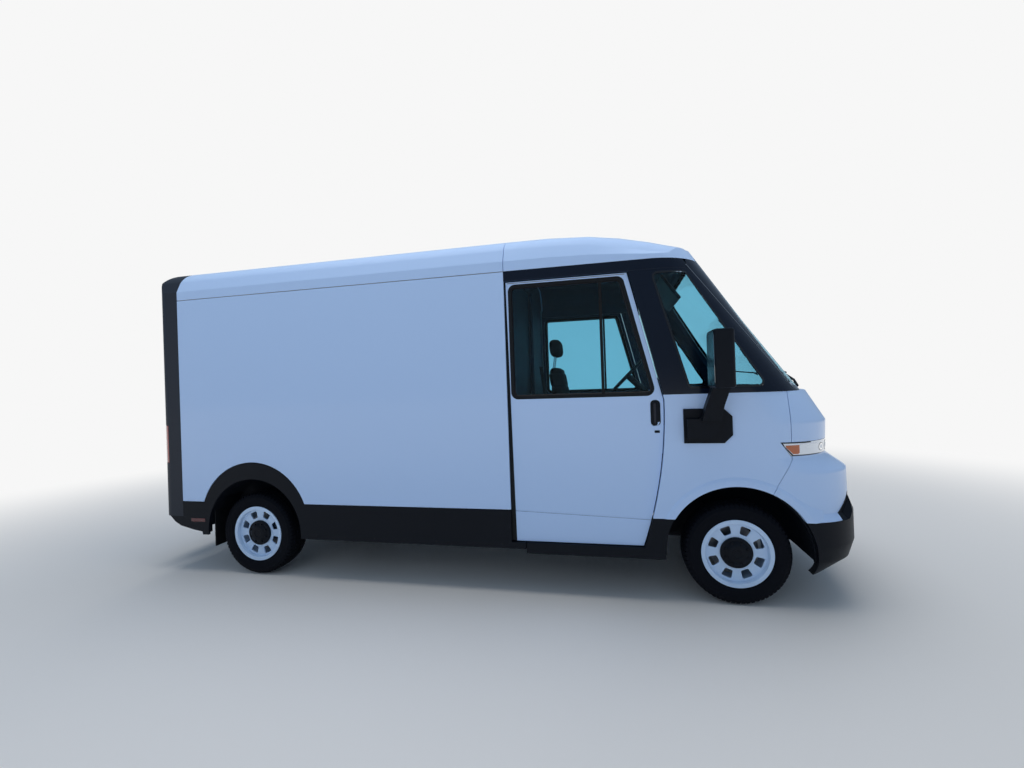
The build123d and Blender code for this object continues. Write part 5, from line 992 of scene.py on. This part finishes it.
# Columns: name, low corner, high corner
DISPLAYS = (
    ("driver_display", (1.695, 0.300, 1.470), (1.704, 0.560, 1.585)),
    ("centre_screen", (1.690, -0.140, 1.250), (1.704, 0.140, 1.420)),
)
VISOR = ((1.640, 2.375), (1.668, 2.375), (1.790, 2.205), (1.782, 2.190), (1.766, 2.196))
VISOR_IN_Y, VISOR_OUT_Y = 0.120, 0.760
VENT_Y = (-0.62, -0.42, 0.16, 0.70)
VENT_REAR_X, VENT_FRONT_X, VENT_HALF, VENT_BLADE = 1.688, 1.702, 0.07, 0.008
VENT_BLADES_Z = spaced(1.330, 1.384, 4)
for name, low, high in DISPLAYS:
    round_edges(boxes(name, SCREEN_DARK, "cab_plastic", [(low, high)]), 0.003)
for side, hand in SIDES:
    plate(f"sun_visor_{hand}", CAB_PLASTIC, "van_body", "cab_plastic", 0.006, VISOR, 1,
          side * VISOR_IN_Y, side * VISOR_OUT_Y)
boxes("air_vents", SATIN_BLACK, "cab_plastic", [
    ((VENT_REAR_X, y - VENT_HALF, z), (VENT_FRONT_X, y + VENT_HALF, z + VENT_BLADE))
    for y in VENT_Y for z in VENT_BLADES_Z
])


# Wheels: treaded tyres, hub caps with their nuts, and brake discs

TREAD_HALF = 0.092
TREAD_PITCHES = 66
STEPS_PER_PITCH = 4
TREAD_DEPTH = 0.008
GROOVES = (-0.056, -0.019, 0.019, 0.056)
GROOVE_HALF = 0.0045
GROOVE_FOOT = 0.0035
# Columns: distance outboard from the tyre's middle, radius
SIDEWALL = (
    (0.0947, 0.2206), (0.0947, 0.2365), (0.1010, 0.2440), (0.1065, 0.2560), (0.1078, 0.2580),
    (0.1084, 0.2610), (0.1079, 0.2640), (0.1112, 0.2780), (0.1120, 0.2950), (0.1105, 0.3120),
    (0.1110, 0.3135), (0.1104, 0.3165), (0.1088, 0.3180), (0.1050, 0.3310), (0.1000, 0.3420),
    (TREAD_HALF, 0.3475),
)
TREAD_CROWN = 0.0085
SHOULDER_Y, SHOULDER_RADIUS, BLOCK_RADIUS = 0.061, 0.325, 0.340
CENTRE_RADIUS, SIPE_DEPTH = 0.353, 0.003
# Turn of each of a pitch's four steps, in pitches
STEP_TURNS = (0.0, 0.66, 0.70, 0.96)


def crown(y):
    """Radius of the tread at a distance from the middle of the tyre."""
    return TYRE_RADIUS - TREAD_CROWN * (y / TREAD_HALF) ** 2


def tyre_profile():
    """One sidewall, the grooved tread and the other sidewall, closed from bead to bead."""
    points = [(-y, r) for y, r in SIDEWALL]
    for middle in GROOVES:
        for y, deep in ((-GROOVE_HALF, 0), (-GROOVE_FOOT, 1), (GROOVE_FOOT, 1), (GROOVE_HALF, 0)):
            points.append((middle + y, crown(middle + y) - deep * TREAD_DEPTH))
    points += [*reversed(SIDEWALL), points[0]]
    return [(WHEEL_Y + y, r) for y, r in points]


def tread_wave(step, y, r):
    """Cross grooves: two of a pitch's four steps go down, in the shoulders and staggered in the middle."""
    pitch, part = divmod(step, STEPS_PER_PITCH)
    off = y - WHEEL_Y
    turn = TAU * (pitch + STEP_TURNS[part]) / TREAD_PITCHES
    deep = 0.0
    if abs(off) > SHOULDER_Y:
        if part >= 2 and r > SHOULDER_RADIUS:
            deep = TREAD_DEPTH if r > BLOCK_RADIUS else SIPE_DEPTH
    else:
        turn += TAU * 0.5 / TREAD_PITCHES * (1 if off > 0 else -1)
        if part >= 2 and r > CENTRE_RADIUS:
            deep = SIPE_DEPTH
    return turn, r - deep


TYRE = tyre_profile()
# Columns: distance outboard from the van's middle, radius
HUB_CAP = (
    (0.900, 0.1070), (0.962, 0.1070), (0.967, 0.1050), (0.970, 0.1000), (0.970, 0.0860), (0.972, 0.0840),
    (0.984, 0.0620), (0.987, 0.0560), (0.987, 0.0300), (0.984, 0.0270), (0.984, 0.0001),
)
BRAKE_DISC = ((0.838, 0.078), (0.838, 0.168), (0.860, 0.168), (0.860, 0.078), (0.838, 0.078))
NUTS, NUT_CIRCLE, NUT_RADIUS, NUT_IN_Y, NUT_OUT_Y = 8, 0.077, 0.0095, 0.960, 0.984

for axle, axle_x in (("front", FRONT_AXLE_X), ("rear", REAR_AXLE_X)):
    for side, hand in SIDES:
        body = f"wheel_{axle}_{hand}"
        tyre = f"tyre_{axle}_{hand}"
        bm = bmesh.new()
        lathe(bm, TYRE, axle_x, side, TREAD_PITCHES * STEPS_PER_PITCH, wave=tread_wave)
        object_from(bm, tyre + "_tread", TYRE_RUBBER, body, "tyre_rubber", tyre, angle=40)
        bm = bmesh.new()
        lathe(bm, HUB_CAP, axle_x, side)
        for nut in range(NUTS):
            turn = TAU * (nut + 0.5) / NUTS
            centre = (axle_x + NUT_CIRCLE * math.cos(turn), TYRE_RADIUS + NUT_CIRCLE * math.sin(turn))
            add_prism(bm, circle(centre, NUT_RADIUS, 6), 1, side * NUT_IN_Y, side * NUT_OUT_Y)
        object_from(bm, f"hub_cap_{axle}_{hand}", SATIN_BLACK, body, "black_trim")
        bm = bmesh.new()
        lathe(bm, BRAKE_DISC, axle_x, side)
        object_from(bm, f"brake_disc_{axle}_{hand}", DULL_METAL, body, "cast_parts")


# Stage, light and camera

BACKGROUND = (0.93, 0.93, 0.93)
FLOOR_COLOUR = (0.86, 0.82, 0.77)
FLOOR_RADIUS = 60.0
# Distance from the middle of the van where the floor starts to fade, and where it has gone
FADE_START, FADE_END = 3.6, 9.5
SKY_LIGHT = (0.55, 0.74, 1.0)
SKY_STRENGTH = 0.40


def stage_floor():
    """A wide pale floor that fades into the background far from the van."""
    bm = bmesh.new()
    bmesh.ops.create_circle(bm, cap_ends=True, segments=96, radius=FLOOR_RADIUS)
    mesh = bpy.data.meshes.new("floor_plane")
    bm.to_mesh(mesh)
    bm.free()
    material = bpy.data.materials.new("stage_floor")
    material.use_nodes = True
    tree = material.node_tree
    shader = tree.nodes["Principled BSDF"]
    set_inputs(tree, shader, {"Base Color": (*FLOOR_COLOUR, 1), "Roughness": 0.55})
    place = tree.nodes.new("ShaderNodeTexCoord").outputs["Object"]
    length = add_node(tree, "ShaderNodeVectorMath", {0: place}, operation="LENGTH")
    fade = add_node(tree, "ShaderNodeMapRange", {
        "Value": length.outputs["Value"], "From Min": FADE_START, "From Max": FADE_END,
    }, interpolation_type="SMOOTHSTEP")
    glow = add_node(tree, "ShaderNodeEmission", {"Color": (*BACKGROUND, 1)})
    mix = add_node(tree, "ShaderNodeMixShader", {
        0: fade.outputs[0], 1: shader.outputs[0], 2: glow.outputs[0],
    })
    set_inputs(tree, tree.nodes["Material Output"], {"Surface": mix.outputs[0]})
    mesh.materials.append(material)
    plane = placed("floor_plane", mesh)


def stage_world():
    """Even pale light from all round; the camera and the glass see the pale background instead."""
    world = bpy.data.worlds.new("studio")
    bpy.context.scene.world = world
    world.use_nodes = True
    tree = world.node_tree
    light = tree.nodes["Background"]
    set_inputs(tree, light, {"Color": (*SKY_LIGHT, 1), "Strength": SKY_STRENGTH})
    seen = add_node(tree, "ShaderNodeBackground", {"Color": (*BACKGROUND, 1)})
    rays = tree.nodes.new("ShaderNodeLightPath").outputs
    either = math_node(tree, "MAXIMUM", rays["Is Camera Ray"], rays["Is Transmission Ray"])
    mix = add_node(tree, "ShaderNodeMixShader", {0: either, 1: light.outputs[0], 2: seen.outputs[0]})
    set_inputs(tree, tree.nodes["World Output"], {"Surface": mix.outputs[0]})


def lamp(name, place, aim, size, energy, colour):
    """A rectangular soft lamp aimed at a point, which no reflection or glass shows."""
    data = bpy.data.lights.new(name, "AREA")
    data.shape = "RECTANGLE"
    data.size, data.size_y = size
    data.energy = energy
    data.color = colour
    lamp_object = placed(name, data)
    lamp_object.location = place
    lamp_object.visible_camera = lamp_object.visible_transmission = lamp_object.visible_glossy = False
    lamp_object.rotation_euler = (Vector(aim) - Vector(place)).to_track_quat("-Z", "Y").to_euler()


# The photograph's viewpoint: place, turns in degrees, and focal length in its pixels
CAMERA_PLACE = (1.246, -4.359, 1.579)
CAMERA_TURNS = (12.333, 0.169, -1.957)
FOCAL_PX, PICTURE_WIDTH_PX = 450, 1024
SENSOR_MM = 36


def camera():
    """The camera at that viewpoint: yaw to the left, then pitch, then roll."""
    yaw, pitch, roll = (math.radians(turn) for turn in CAMERA_TURNS)
    forward = Vector((-math.sin(yaw) * math.cos(pitch), math.cos(yaw) * math.cos(pitch), math.sin(pitch)))
    level = Vector((math.cos(yaw), math.sin(yaw), 0))
    above = level.cross(forward)
    right = level * math.cos(roll) + above * math.sin(roll)
    up = above * math.cos(roll) - level * math.sin(roll)
    data = bpy.data.cameras.new("photo_view")
    data.sensor_width = SENSOR_MM
    data.lens = FOCAL_PX / PICTURE_WIDTH_PX * SENSOR_MM
    data.clip_end = 200
    view = placed("photo_view", data)
    turn = Matrix((right, up, -forward)).transposed().to_4x4()
    view.matrix_world = Matrix.Translation(CAMERA_PLACE) @ turn
    bpy.context.scene.camera = view


bpy.context.scene.view_settings.view_transform = "Standard"
stage_floor()
stage_world()
lamp("ceiling_light", (0, 0.5, 6.5), (0, 0, 1), (9, 6), 370, (1.0, 0.98, 0.95))
lamp("side_light", (-1.0, -7.5, 4.0), (0, 0, 1.2), (6, 3), 30, (0.86, 0.92, 1.0))
camera()
